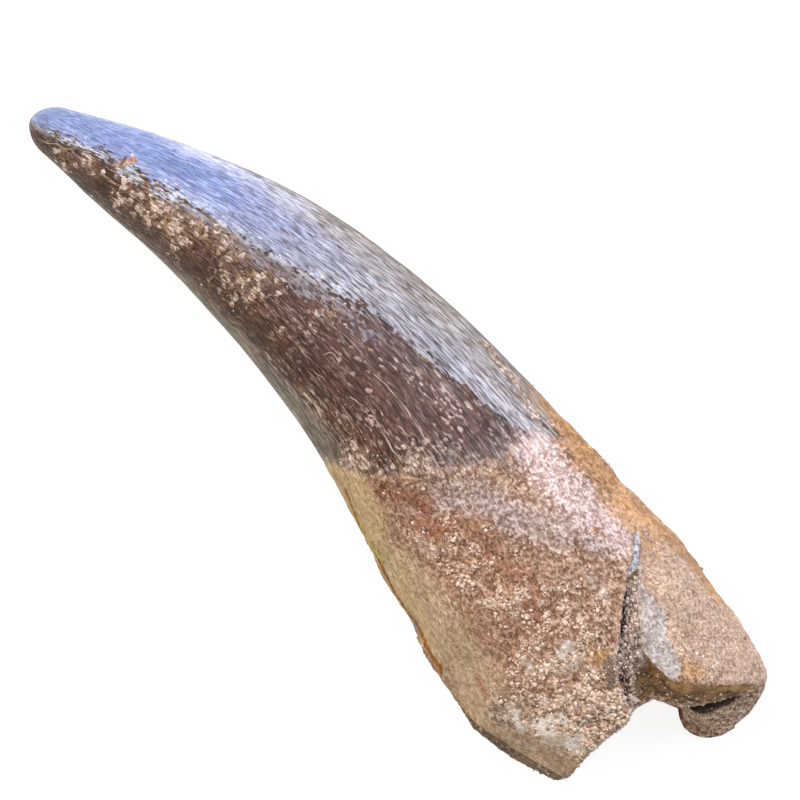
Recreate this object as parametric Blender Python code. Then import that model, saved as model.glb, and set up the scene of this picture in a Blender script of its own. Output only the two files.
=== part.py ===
"""A fossil plesiosaur tooth, lying on its side: a curved, finely fluted crown on a stout root
whose base is broken across an open pulp cavity and split by one long crack.

Lengths are millimetres until the mesh is made. The row frame is metres, +Z up.
X runs from the crown's tip to the broken base, and +Y is the convex side of the bend.
A point of the skin is named by its station, the distance from the tip measured along X,
and by its angle round the section: 0 degrees is the convex side, 90 the top, 180 the concave side.
"""

import math

import bmesh
import bpy
import numpy as np
from mathutils import Vector, noise

MM = 0.001
LENGTH = 50.0
NOSE = 1.3  # how far the rounded tip reaches along the tooth

# Station, the axis's offset to the convex side, the half-widths on the convex and the concave
# side, and the half-height. The root is crushed flatter than the crown.
SECTIONS = (
    (0.0, 1.75, 1.02, 1.02, 0.98),
    (2.5, 2.24, 1.60, 1.60, 1.52),
    (5.0, 2.68, 2.24, 2.24, 2.08),
    (9.5, 3.42, 3.10, 3.10, 2.82),
    (14.0, 3.78, 3.96, 3.96, 3.48),
    (19.0, 3.65, 4.66, 4.66, 4.02),
    (24.0, 3.02, 5.30, 5.30, 4.45),
    (29.0, 1.86, 6.01, 6.02, 4.85),
    (34.0, 0.50, 6.73, 6.74, 5.15),
    (38.0, -0.49, 7.21, 7.42, 5.30),
    (41.0, -1.18, 7.38, 7.86, 5.30),
    (42.5, -1.53, 7.36, 7.48, 5.20),
    (44.0, -1.88, 7.28, 6.78, 5.10),
    (46.5, -2.45, 7.03, 5.55, 4.85),
    (50.0, -3.26, 5.60, 4.20, 4.40),
)
# Station and the height of the underside above the ground: the root's belly and the tip touch.
UNDERSIDE = ((0.0, 0.0), (4.0, 0.15), (14.0, 0.55), (25.0, 0.30), (33.0, -0.22), (42.0, -0.22), (50.0, 0.3))

FLUTES = 44  # ridges round the crown, each two columns of the mesh
COLUMNS = 2 * FLUTES
FLUTE_HEIGHT = 0.055
FLUTE_START, FLUTE_FULL, FLUTE_FADE, FLUTE_END = 1.5, 5.5, 22.0, 29.0  # stations
NOSE_RINGS = 5
NOSE_FIRST, NOSE_LAST = 10.6, 81.2  # degrees round the tip of its first and last ring
BODY_END = 34.0  # the rings stay square to the axis up to this station
BODY_PITCH = 1.3
BODY_LEAD = 0.3  # the first body ring lies this share of a pitch past the tip's rounding
ROOT_RINGS = 10

# The crack: station, the angle of its sharp upper lip, the angle of its other wall, its depth.
CRACK = (
    (37.4, 35.0, 32.5, 0.0),
    (38.4, 46.5, 39.5, 0.35),
    (39.0, 55.5, 46.0, 0.60),
    (40.1, 66.0, 55.5, 1.00),
    (41.3, 75.8, 63.8, 1.20),
    (42.5, 85.5, 71.0, 1.45),
    (43.3, 89.0, 72.5, 1.60),
    (45.0, 94.5, 72.5, 1.80),
    (50.0, 96.0, 72.5, 1.80),
)
CRACK_LIP_COLUMN, CRACK_WALL_COLUMN = 18, 14  # the mesh columns that follow its two sides
COLUMN_TURN_START = 30.5  # where those columns leave their straight course
EDGE_MARGIN = 0.2  # degrees: a column this close to the lip is on it
FLAKE_STEP = 0.28  # the flake beyond the crack lies this much lower
FLAKE_SPREAD = 40.0  # degrees over which it rises to the skin again
CRACK_SLOPE = 0.45  # the share of the crack's width that its other wall slopes over

# A strip of the concave side is broken away below the root wall's edge.
LEDGE_START, LEDGE_FULL, LEDGE_STEADY = 35.5, 39.5, 42.5  # stations
LEDGE_DEPTH = 0.45
LEDGE_ANGLE = 149.0  # of its upper edge, once steady
LEDGE_SWING = 22.0  # how much further round that edge starts
LEDGE_WALL = 5.0  # degrees that the edge's little wall takes
LEDGE_LOWER_ANGLES = (205.0, 230.0)  # where the strip fades into the underside

# The broken base, as angle and station round the section. The outer edge is where the skin
# stops, and the inner lip is where the break meets the pulp cavity.
OUTER_EDGE = (
    (0, 47.9), (26, 47.8), (47, 46.8), (60, 45.8), (66, 45.2), (69, 44.7), (72, 42.8), (82, 42.9),
    (94, 44.9), (100, 45.1), (118, 45.1), (131, 45.35), (145, 45.6), (167, 45.5), (180, 45.3),
    (210, 45.1), (240, 44.9), (268, 44.7), (279, 44.7), (283, 45.3), (287, 47.4), (291, 48.6),
    (300, 49.0), (322, 48.9), (338, 48.5), (354, 48.0), (360, 47.9),
)
INNER_LIP = (
    (0, 48.0), (25, 47.8), (45, 47.4), (60, 47.0), (68, 46.5), (78, 45.1), (93, 44.9), (130, 44.9),
    (180, 44.8), (240, 44.6), (278, 44.7), (286, 46.6), (300, 47.3), (330, 47.7), (360, 48.0),
)
BASE_STATION = 45.0  # where the columns' angles on the broken base are taken
LIP_RINGS = 3
CAVITY_HALF_WIDTH = 0.74  # of the root's half-width
CAVITY_HALF_HEIGHT = 0.95
CAVITY_RISE = 0.55  # the slit's centre above the axis
CAVITY_FLOOR = 42.6  # the station where the cavity is choked with stone
CAVITY_RINGS = ((0.35, 0.94), (0.75, 0.82), (1.0, 0.45))  # share of the way down, share of the size

ROOT_LUMP = 0.13
ROOT_LUMP_WAVELENGTH = 2.6
LUMPS_GROW = (26.0, 33.0)  # stations between which the skin turns from smooth to lumpy
CROWN_LUMP_SHARE = 0.25
BREAK_BULGE = 0.12
BREAK_ROUGHNESS = 0.22
BREAK_WAVELENGTH = 0.9

TIP_CAP = 0.02  # the tip's own point stands this far out of its first ring
SHARP_ANGLE = math.radians(35)
TAN = (0.42, 0.27, 0.18, 1.0)
DENTINE_ROUGHNESS = 0.6


def smooth_table(table, where, column=1):
    """The table's column at a place, along a smooth curve through its rows."""
    rows = np.asarray(table, float)
    x, y = rows[:, 0], rows[:, column]
    slope = np.gradient(y, x)
    i = int(np.clip(np.searchsorted(x, where) - 1, 0, len(x) - 2))
    step = x[i + 1] - x[i]
    t = (where - x[i]) / step
    start = y[i] * (1 + 2 * t) * (1 - t) ** 2 + step * slope[i] * t * (1 - t) ** 2
    end = y[i + 1] * t * t * (3 - 2 * t) + step * slope[i + 1] * t * t * (t - 1)
    return float(start + end)


def straight_table(table, where, column=1):
    """The table's column at a place, along straight lines between its rows."""
    rows = np.asarray(table, float)
    return float(np.interp(where, rows[:, 0], rows[:, column]))


def ease(low, high, value):
    """0 below low, 1 above high, and a smooth climb between."""
    t = min(max((value - low) / (high - low), 0.0), 1.0)
    return t * t * (3 - 2 * t)


def section(station):
    """The axis's offset, both half-widths, the half-height and the axis's height at a station."""
    offset, convex, concave, half_height = (smooth_table(SECTIONS, station, c) for c in (1, 2, 3, 4))
    return offset, convex, concave, half_height, half_height + smooth_table(UNDERSIDE, station)


def across(station, step=0.25):
    """The level direction across the tooth, square to its axis, towards the convex side."""
    rise = smooth_table(SECTIONS, station + step) - smooth_table(SECTIONS, station - step)
    heading = math.atan2(rise, 2 * step)
    return Vector((-math.sin(heading), math.cos(heading), 0.0))


def skin_point(station, angle, depth=0.0, scale=1.0):
    """A point of the section at an angle, with the section scaled and the point pressed in by depth."""
    offset, convex, concave, half_height, height = section(station)
    turn = math.radians(angle)
    half_width = convex if math.cos(turn) >= 0 else concave
    wide = (half_width * scale - depth) * math.cos(turn)
    tall = (half_height * scale - depth) * math.sin(turn)
    centre = Vector((station - LENGTH / 2, offset, height))
    return centre + across(station) * wide + Vector((0, 0, tall))


def column_angle(column, station):
    """The angle of a mesh column: even on the crown, and led along the crack's sides on the root."""
    even = 360.0 * column / COLUMNS
    if even >= 180.0 or station <= COLUMN_TURN_START:
        return even
    marks = (0.0, CRACK_WALL_COLUMN * 360.0 / COLUMNS, CRACK_LIP_COLUMN * 360.0 / COLUMNS, 180.0)
    along = max(station, CRACK[0][0])
    led = (0.0, straight_table(CRACK, along, 2), straight_table(CRACK, along, 1), 180.0)
    turned = ease(COLUMN_TURN_START, CRACK[0][0], station)
    return float(np.interp(even, marks, [m + (to - m) * turned for m, to in zip(marks, led)]))


def crack_depth(station, angle):
    """How far the crack and the sunken flake beside it lie below the skin."""
    lip, wall = straight_table(CRACK, station, 1), straight_table(CRACK, station, 2)
    depth = straight_table(CRACK, station, 3)
    if station <= CRACK[0][0] or angle >= lip - EDGE_MARGIN:
        return 0.0
    step = FLAKE_STEP * ease(CRACK[0][0], CRACK[2][0], station) * ease(wall - FLAKE_SPREAD, wall, angle)
    inside = ease(wall + EDGE_MARGIN, wall + (lip - wall) * CRACK_SLOPE, angle)
    return step + (depth - step) * inside


def ledge_depth(station, angle):
    """How far the broken strip on the concave side lies below the skin."""
    edge = LEDGE_ANGLE + LEDGE_SWING * (1 - ease(LEDGE_START, LEDGE_STEADY, station))
    across_strip = ease(edge, edge + LEDGE_WALL, angle) * (1 - ease(*LEDGE_LOWER_ANGLES, angle))
    return LEDGE_DEPTH * ease(LEDGE_START, LEDGE_FULL, station) * across_strip


def lump(point, wavelength, height):
    """A soft random swelling that is the same in every run."""
    return height * noise.noise(point / wavelength)


def skin(column, station):
    """A point of the tooth's outer skin, with its flutes, crack, ledge and lumps."""
    angle = column_angle(column, station)
    fluted = ease(FLUTE_START, FLUTE_FULL, station) * (1 - ease(FLUTE_FADE, FLUTE_END, station))
    flute = FLUTE_HEIGHT * fluted * (1 if column % 2 else -1)
    plain = skin_point(station, angle)
    rooted = CROWN_LUMP_SHARE + (1 - CROWN_LUMP_SHARE) * ease(*LUMPS_GROW, station)
    swell = lump(plain, ROOT_LUMP_WAVELENGTH, ROOT_LUMP) * rooted
    depth = crack_depth(station, angle) + ledge_depth(station, angle) - flute - swell
    return skin_point(station, angle, depth)


def nose_ring(step):
    """A ring of the rounded tip."""
    turn = math.radians(NOSE_FIRST + (NOSE_LAST - NOSE_FIRST) * step / (NOSE_RINGS - 1))
    station = NOSE * (1 - math.cos(turn))
    return [skin_point(station, column_angle(c, station), scale=math.sin(turn)) for c in range(COLUMNS)]


def outer_ring(share):
    """A ring of the root between BODY_END, at share 0, and the broken edge, at share 1."""
    ring = []
    for column in range(COLUMNS):
        edge = straight_table(OUTER_EDGE, column_angle(column, BASE_STATION))
        ring.append(skin(column, BODY_END + share * (edge - BODY_END)))
    return ring


def cavity_point(column, share=0.0, size=1.0):
    """A point of the pulp cavity's wall, at a share of the way from its lip to its floor."""
    angle = column_angle(column, BASE_STATION)
    lip = straight_table(INNER_LIP, angle)
    offset, convex, concave, half_height, height = section(lip)
    turn = math.radians(angle)
    half_width = (convex if math.cos(turn) >= 0 else concave) * CAVITY_HALF_WIDTH * size
    station = lip + share * (CAVITY_FLOOR - lip)
    centre = Vector((station - LENGTH / 2, offset, height + CAVITY_RISE))
    slit = CAVITY_HALF_HEIGHT * size * math.sin(turn)
    return centre + across(lip) * half_width * math.cos(turn) + Vector((0, 0, slit))


def break_ring(outer, share):
    """A ring of the broken wall, between its outer edge and the cavity's lip."""
    ring = []
    for column, start in enumerate(outer):
        point = start.lerp(cavity_point(column), share)
        bulge = BREAK_BULGE + lump(point, BREAK_WAVELENGTH, BREAK_ROUGHNESS)
        ring.append(point + Vector((bulge * math.sin(math.pi * share), 0, 0)))
    return ring


def all_rings():
    """Every ring of the tooth, from its tip over the broken edge into the pulp cavity."""
    rings = [nose_ring(step) for step in range(NOSE_RINGS)]
    count = round((BODY_END - NOSE) / BODY_PITCH)
    for i in range(count):
        station = NOSE + (i + BODY_LEAD) * (BODY_END - NOSE) / count
        rings.append([skin(c, station) for c in range(COLUMNS)])
    rings += [outer_ring(i / ROOT_RINGS) for i in range(ROOT_RINGS + 1)]
    outer = rings[-1]
    rings += [break_ring(outer, (i + 1) / (LIP_RINGS + 1)) for i in range(LIP_RINGS)]
    rings.append([cavity_point(c) for c in range(COLUMNS)])
    for share, size in CAVITY_RINGS:
        rings.append([cavity_point(c, share, size) for c in range(COLUMNS)])
    return rings


def middle(ring):
    """The middle of a ring."""
    return sum(ring, Vector()) / len(ring)


def stand_on_ground(points):
    """The points with the footprint's centre at the origin and the belly worn flat on the ground."""
    xs, ys = [p.x for p in points], [p.y for p in points]
    shift = Vector(((min(xs) + max(xs)) / 2, (min(ys) + max(ys)) / 2, 0.0))
    moved = [p - shift for p in points]
    return [Vector((p.x, p.y, max(p.z, 0.0))) for p in moved]


def loft(name, rings, material):
    """One closed object through all the rings, with a point at each end."""
    points = [middle(rings[0]) - Vector((TIP_CAP, 0, 0))]
    points += [p for ring in rings for p in ring]
    points.append(middle(rings[-1]))
    mesh = bpy.data.meshes.new(name)
    bm = bmesh.new()
    verts = [bm.verts.new(p * MM) for p in stand_on_ground(points)]
    first, last = verts[0], verts[-1]
    loops = [verts[1 + i * COLUMNS : 1 + (i + 1) * COLUMNS] for i in range(len(rings))]
    for i in range(COLUMNS):
        j = (i + 1) % COLUMNS
        bm.faces.new((first, loops[0][j], loops[0][i]))
        bm.faces.new((last, loops[-1][i], loops[-1][j]))
        for near, far in zip(loops, loops[1:]):
            bm.faces.new((near[i], near[j], far[j], far[i]))
    bmesh.ops.recalc_face_normals(bm, faces=bm.faces)
    bmesh.ops.triangulate(bm, faces=bm.faces)
    bm.to_mesh(mesh)
    bm.free()
    mesh.shade_smooth()
    mesh.set_sharp_from_angle(angle=SHARP_ANGLE)
    mesh.materials.append(material)
    bpy.context.scene.collection.objects.link(bpy.data.objects.new(name, mesh))


def fossil_material():
    """Phosphate-stained dentine, dull and stony."""
    material = bpy.data.materials.new("fossil_dentine")
    material.use_nodes = True
    shader = material.node_tree.nodes["Principled BSDF"]
    shader.inputs["Base Color"].default_value = TAN
    shader.inputs["Roughness"].default_value = DENTINE_ROUGHNESS
    shader.inputs["Metallic"].default_value = 0.0
    return material


def clear_scene():
    """Removes whatever the file held."""
    for old in list(bpy.data.objects):
        bpy.data.objects.remove(old)


def main():
    """Builds the tooth."""
    clear_scene()
    loft("tooth", all_rings(), fossil_material())


main()
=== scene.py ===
"""The looks of a fossil plesiosaur tooth: striated enamel, granular root, crack, stains and sand.

Lengths in the classes are millimetres until a mesh is made. The row frame is metres, +Z up.
X runs from the crown's tip to the broken base, and +Y is the convex side of the bend. A point of
the skin is named by its station, the distance from the tip along X, and by its angle round the
section: 0 degrees is the convex side, 90 the top, 180 the concave side, 270 the underside.
"""

import logging
import math
from dataclasses import dataclass
from enum import Enum
from functools import partial
from typing import Any

import bpy
import numpy as np
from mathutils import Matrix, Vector, noise


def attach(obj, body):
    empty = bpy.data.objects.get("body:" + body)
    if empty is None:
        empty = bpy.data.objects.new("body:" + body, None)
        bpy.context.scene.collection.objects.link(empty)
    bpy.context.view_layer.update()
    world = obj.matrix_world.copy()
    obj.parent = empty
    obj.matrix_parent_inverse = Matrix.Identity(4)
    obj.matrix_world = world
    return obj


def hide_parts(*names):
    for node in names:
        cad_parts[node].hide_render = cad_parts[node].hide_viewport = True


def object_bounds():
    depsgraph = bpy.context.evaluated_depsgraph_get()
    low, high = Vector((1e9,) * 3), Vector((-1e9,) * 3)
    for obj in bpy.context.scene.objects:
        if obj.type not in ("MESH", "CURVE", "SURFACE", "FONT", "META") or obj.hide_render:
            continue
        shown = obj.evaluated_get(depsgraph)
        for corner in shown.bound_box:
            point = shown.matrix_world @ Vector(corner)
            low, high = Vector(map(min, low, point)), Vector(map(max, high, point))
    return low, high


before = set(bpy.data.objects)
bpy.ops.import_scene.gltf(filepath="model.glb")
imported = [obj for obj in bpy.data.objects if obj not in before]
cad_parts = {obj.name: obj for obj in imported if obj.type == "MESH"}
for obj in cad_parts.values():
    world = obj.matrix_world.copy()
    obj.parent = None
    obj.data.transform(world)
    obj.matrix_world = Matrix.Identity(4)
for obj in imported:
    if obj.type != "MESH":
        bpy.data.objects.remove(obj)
CAD_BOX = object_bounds()

MM = 0.001
Table = tuple[tuple[float, ...], ...]
Pair = tuple[float, float]
Masks = dict[str, np.ndarray]
Look = dict[str, Any]

log = logging.getLogger("tooth")


class Grain(Enum):
    """The coordinates that a pattern is laid out in."""

    SOLID = "solid"  # millimetres of the stone itself
    ALONG = "along"  # drawn out along the tooth, as enamel ridges are
    STROKE = "stroke"  # drawn out less, as scratches and chips are


class Kind(Enum):
    """The kinds of shader node that the finishes are made of."""

    PLACE = "ShaderNodeTexCoord"
    MARK = "ShaderNodeAttribute"
    NOISE = "ShaderNodeTexNoise"
    CELLS = "ShaderNodeTexVoronoi"
    MATHS = "ShaderNodeMath"
    VECTOR = "ShaderNodeVectorMath"
    CLIMB = "ShaderNodeMapRange"
    MIX = "ShaderNodeMix"
    RAMP = "ShaderNodeValToRGB"
    BUMP = "ShaderNodeBump"


SMOOTH = {"interpolation_type": "SMOOTHSTEP"}
COLOUR = {"data_type": "RGBA"}
STROKE_STRETCH = 2.5  # how much longer than wide a stroke is
STROKE_SHORTER = (3.6, 1.0, 1.0)  # a stroke is this much shorter than a streak


# --------------------------------------------------------------------------- small arithmetic


def smooth_table(table: Table, where: np.ndarray, column: int = 1) -> np.ndarray:
    """A column of a table along a smooth curve through its rows.

    Args:
        table: Rows whose first value is the place.
        where: The places asked for.
        column: Which value of the rows is wanted.

    Returns:
        The values at those places.
    """
    rows = np.asarray(table, float)
    x, y = rows[:, 0], rows[:, column]
    slope = np.gradient(y, x)
    i = np.clip(np.searchsorted(x, where) - 1, 0, len(x) - 2)
    step = x[i + 1] - x[i]
    t = (where - x[i]) / step
    start = y[i] * (1 + 2 * t) * (1 - t) ** 2 + step * slope[i] * t * (1 - t) ** 2
    end = y[i + 1] * t * t * (3 - 2 * t) + step * slope[i + 1] * t * t * (t - 1)
    return start + end


def straight_table(table: Table, where: np.ndarray, column: int = 1) -> np.ndarray:
    """A column of a table along straight lines between its rows.

    Args:
        table: Rows whose first value is the place.
        where: The places asked for.
        column: Which value of the rows is wanted.

    Returns:
        The values at those places.
    """
    rows = np.asarray(table, float)
    return np.interp(where, rows[:, 0], rows[:, column])


def ease(low: Any, high: Any, value: Any) -> np.ndarray:
    """0 below low, 1 above high, and a smooth climb between.

    Args:
        low: Where the climb starts.
        high: Where it ends.
        value: The places asked for.

    Returns:
        The share climbed, from 0 to 1.
    """
    t = np.clip((value - low) / (high - low), 0.0, 1.0)
    return t * t * (3 - 2 * t)


def soft_noise(points: np.ndarray, wavelength: float, shift: float = 0.0) -> np.ndarray:
    """Smooth random values, about -1 to 1, that are the same in every run.

    Args:
        points: The places, with three coordinates each on the last axis.
        wavelength: The size of a swelling, in the points' own unit.
        shift: Moves the pattern, so that two of them differ.

    Returns:
        One value for each place.
    """
    flat = points.reshape(-1, 3) / wavelength + shift
    values = np.fromiter(map(noise.noise, flat.tolist()), float, len(flat))
    return values.reshape(points.shape[:-1])


def linear(colour: str) -> tuple[float, float, float, float]:
    """Turns an sRGB hex colour into the linear colour that the shaders use.

    Args:
        colour: The colour as "#rrggbb".

    Returns:
        Red, green, blue and an alpha of 1.
    """
    parts = [int(colour[i : i + 2], 16) / 255 for i in (1, 3, 5)]
    toned = [p / 12.92 if p <= 0.04045 else ((p + 0.055) / 1.055) ** 2.4 for p in parts]
    return toned[0], toned[1], toned[2], 1.0


def add_node(tree: Any, kind: Kind, inputs: Any = (), output: Any = 0, **settings: Any) -> Any:
    """Adds a node with its settings and links.

    Args:
        tree: The node tree.
        kind: The kind of node.
        inputs: Values or the sockets that feed them, in order or by the inputs' names or numbers.
        output: The name or number of the output that is wanted.
        settings: Properties of the node and their values.

    Returns:
        That output.
    """
    node = tree.nodes.new(kind.value)
    for name, value in settings.items():
        setattr(node, name, value)
    for name, value in inputs.items() if isinstance(inputs, dict) else enumerate(inputs):
        if isinstance(value, bpy.types.NodeSocket):
            tree.links.new(value, node.inputs[name])
        else:
            node.inputs[name].default_value = value
    return node.outputs[output]


def mesh_object(
    name: str, points: np.ndarray, faces: list, material: Any, values: dict, smooth: bool = True
) -> Any:
    """Makes one mesh object from points in millimetres, none of them outside the solid's box.

    Points past the box, such as those of grains on the top and the underside, are moved onto it.

    Args:
        name: The object's name.
        points: Its points, one a row.
        faces: Its faces, as lists of point numbers.
        material: Its material.
        values: Attributes of the points: a name, and one number or three for each point.
        smooth: Whether it is shaded smooth, or flat as broken mineral is.

    Returns:
        The object, linked to the scene.
    """
    low, high = (np.asarray(corner) / MM for corner in CAD_BOX)
    mesh = bpy.data.meshes.new(name)
    mesh.from_pydata((np.clip(points, low, high) * MM).tolist(), [], faces)
    for label, numbers in values.items():
        wide = numbers.ndim > 1
        layer = mesh.attributes.new(label, "FLOAT_VECTOR" if wide else "FLOAT", "POINT")
        layer.data.foreach_set("vector" if wide else "value", numbers.astype(np.float32).ravel())
    if smooth:
        mesh.shade_smooth()
    mesh.materials.append(material)
    piece = bpy.data.objects.new(name, mesh)
    bpy.context.scene.collection.objects.link(piece)
    return piece


# --------------------------------------------------------------------------- the tooth's form


@dataclass(frozen=True)
class ToothForm:
    """The tooth's bends, sections, crack and broken base, as the solid has them."""

    length: float = 50.0
    nose: float = 1.3  # how far the rounded tip reaches
    # Station, the axis's offset to the convex side, both half-widths and the half-height.
    sections: Table = (
        (0.0, 1.75, 1.02, 1.02, 0.98),
        (2.5, 2.24, 1.60, 1.60, 1.52),
        (5.0, 2.68, 2.24, 2.24, 2.08),
        (9.5, 3.42, 3.10, 3.10, 2.82),
        (14.0, 3.78, 3.96, 3.96, 3.48),
        (19.0, 3.65, 4.66, 4.66, 4.02),
        (24.0, 3.02, 5.30, 5.30, 4.45),
        (29.0, 1.86, 6.01, 6.02, 4.85),
        (34.0, 0.50, 6.73, 6.74, 5.15),
        (38.0, -0.49, 7.21, 7.42, 5.30),
        (41.0, -1.18, 7.38, 7.86, 5.30),
        (42.5, -1.53, 7.36, 7.48, 5.20),
        (44.0, -1.88, 7.28, 6.78, 5.10),
        (46.5, -2.45, 7.03, 5.55, 4.85),
        (50.0, -3.26, 5.60, 4.20, 4.40),
    )
    underside: Table = (
        (0.0, 0.0), (4.0, 0.15), (14.0, 0.55), (25.0, 0.30), (33.0, -0.22), (42.0, -0.22), (50.0, 0.3),
    )
    # Station, the angle of the crack's sharp lip and of its other wall, and its depth.
    crack: Table = (
        (37.4, 35.0, 32.5, 0.0),
        (38.4, 46.5, 39.5, 0.35),
        (39.0, 55.5, 46.0, 0.60),
        (40.1, 66.0, 55.5, 1.00),
        (41.3, 75.8, 63.8, 1.20),
        (42.5, 85.5, 71.0, 1.45),
        (43.3, 89.0, 72.5, 1.60),
        (45.0, 94.5, 72.5, 1.80),
        (50.0, 96.0, 72.5, 1.80),
    )
    crack_start: float = 37.4
    crack_slope: float = 0.45  # the share of the width that the other wall slopes over
    edge_margin: float = 0.2
    flake_step: float = 0.28  # the flake beyond the crack lies this much lower
    flake_full: float = 39.0
    flake_spread: float = 40.0
    # Station, how deep the stone that chokes the crack lies, and the extra depth of its painted-shade gap.
    filling: Table = (
        (37.4, 0.02, 0.0),
        (38.4, 0.13, 0.05),
        (39.1, 0.18, 0.05),
        (39.35, 0.04, 0.0),
        (39.7, 0.28, 0.15),
        (40.0, 0.30, 0.60),
        (40.8, 0.34, 0.75),
        (41.2, 0.38, 0.60),
        (41.5, 0.24, 0.06),
        (42.6, 0.26, 0.12),
        (43.3, 0.48, 0.45),
        (44.3, 0.95, 0.25),
        (50.0, 1.80, 0.0),
    )
    gravel_from: Pair = (39.30, 39.45)  # the filling is coarser beyond here
    slot_side: Pair = (0.66, 0.84)  # shares of the crack's width where the slot opens
    ledge: tuple[float, float, float] = (35.5, 39.5, 42.5)  # its start, where it is full, and steady
    ledge_depth: float = 0.45
    ledge_angle: float = 149.0
    ledge_swing: float = 22.0
    ledge_wall: float = 5.0
    ledge_lower: Pair = (205.0, 230.0)
    # Angle and station of the skin's broken edge, and of the break's inner lip.
    outer_edge: Table = (
        (0, 47.9), (26, 47.8), (47, 46.8), (60, 45.8), (66, 45.2), (69, 44.7), (72, 42.8),
        (82, 42.9), (94, 44.9), (100, 45.1), (118, 45.1), (131, 45.35), (145, 45.6), (167, 45.5),
        (180, 45.3), (210, 45.1), (240, 44.9), (268, 44.7), (279, 44.7), (283, 45.3), (287, 47.4),
        (291, 48.6), (300, 49.0), (322, 48.9), (338, 48.5), (354, 48.0), (360, 47.9),
    )
    inner_lip: Table = (
        (0, 47.7), (10, 47.65), (25, 47.5), (45, 47.15), (60, 46.7), (68, 46.2), (78, 45.1),
        (93, 44.9), (130, 44.9), (180, 44.8), (240, 44.6), (276, 44.5), (284, 44.5), (290, 44.9), (293, 45.6),
        (296, 46.4), (298, 46.85), (300, 47.0), (315, 47.4), (330, 47.65), (350, 47.75), (360, 47.7),
    )
    base_station: float = 45.0
    cavity_half_width: float = 0.74  # of the root's half-width
    cavity_half_height: float = 0.95
    cavity_rise: float = 0.55
    cavity_floor: float = 42.6
    # The rounded hook at the break's low end: angle, X from the tip, and Y of its outline.
    hook: Table = (
        (279.0, 45.05, -1.02), (281.7, 45.66, -0.97), (283.5, 46.45, -0.78), (285.2, 47.19, -0.54),
        (286.8, 47.28, -0.82), (288.5, 47.42, -1.04), (290.2, 47.84, -1.23), (292.0, 48.34, -1.22),
        (294.0, 48.78, -1.07), (296.5, 49.20, -0.78), (300.0, 49.62, -0.27), (306.7, 49.90, 0.50),
    )
    hook_from: Pair = (266.0, 276.0)  # the angles round which the wall is smoother
    hook_to: Pair = (312.0, 330.0)
    hook_hollow: float = 0.6  # how far the break behind the hook's edge stands back
    hollow_from: Pair = (282.5, 286.0)
    hollow_to: Pair = (296.0, 303.0)
    hook_fade: float = 1.6  # how far back along the tooth the hook's bulge reaches
    dent: tuple[float, float, float] = (34.6, 2.2, 0.2)  # station, reach and depth, concave side
    dent_from: Pair = (140.0, 165.0)  # the angles over which it deepens
    dent_to: Pair = (195.0, 220.0)
    lump: float = 0.13
    lump_wavelength: float = 2.6
    lumps_grow: Pair = (26.0, 33.0)
    crown_lump_share: float = 0.25

    def section(self, station: np.ndarray) -> list[np.ndarray]:
        """The axis's offset, both half-widths, the half-height and the axis's height.

        Args:
            station: The stations asked for.

        Returns:
            Those five sizes at each station.
        """
        sizes = [smooth_table(self.sections, station, column) for column in (1, 2, 3, 4)]
        return [*sizes, sizes[3] + smooth_table(self.underside, station)]

    def radius(self, station: np.ndarray) -> np.ndarray:
        """The mean radius at each station."""
        _, convex, concave, half_height, _ = self.section(station)
        return (convex + concave + 2 * half_height) / 4

    def across(self, station: np.ndarray, step: float = 0.25) -> np.ndarray:
        """The level direction square to the axis, towards the convex side.

        Args:
            station: The stations asked for.
            step: How far to each side the axis's heading is measured.

        Returns:
            One unit vector for each station.
        """
        rise = smooth_table(self.sections, station + step) - smooth_table(self.sections, station - step)
        heading = np.arctan2(rise, 2 * step)
        return np.stack([-np.sin(heading), np.cos(heading), np.zeros_like(heading)], axis=-1)

    def skin_point(self, station: Any, angle: Any, depth: Any = 0.0, scale: Any = 1.0) -> np.ndarray:
        """Points of the sections, scaled and pressed in.

        Args:
            station: Their stations.
            angle: Their angles in degrees.
            depth: How far they are pressed in.
            scale: What share of the section's size they lie at.

        Returns:
            The points, in millimetres.
        """
        offset, convex, concave, half_height, height = self.section(station)
        turn = np.radians(angle)
        half_width = np.where(np.cos(turn) >= 0, convex, concave)
        wide = (half_width * scale - depth) * np.cos(turn)
        tall = (half_height * scale - depth) * np.sin(turn)
        centre = np.stack([station - self.length / 2, offset, height + tall], axis=-1)
        return centre + self.across(station) * wide[..., None]

    def hooked(self, skin: np.ndarray, station: np.ndarray, angle: np.ndarray) -> np.ndarray:
        """How far the hook's outline moves each place of the skin.

        Args:
            skin: The skin's points, a row for each ring, the broken edge last.
            station: Their stations.
            angle: Their angles.

        Returns:
            The moves, in X and Y.
        """
        at = angle[-1]
        inside = (at >= self.hook[0][0]) & (at <= self.hook[-1][0])
        goal_x = straight_table(self.hook, at, 1) - self.length / 2
        goal = np.stack([goal_x, straight_table(self.hook, at, 2)], axis=-1)
        move = np.where(inside[:, None], goal - skin[-1, :, :2], 0.0)
        near = 1 - ease(0.0, self.hook_fade, station[-1] - station)
        return move[None] * near[..., None]

    def crack_share(self, station: np.ndarray, angle: np.ndarray) -> np.ndarray:
        """How far across the crack a place is: 0 at its far wall, 1 at its sharp lip."""
        lip, wall = straight_table(self.crack, station, 1), straight_table(self.crack, station, 2)
        return (angle - wall) / (lip - wall)

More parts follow.
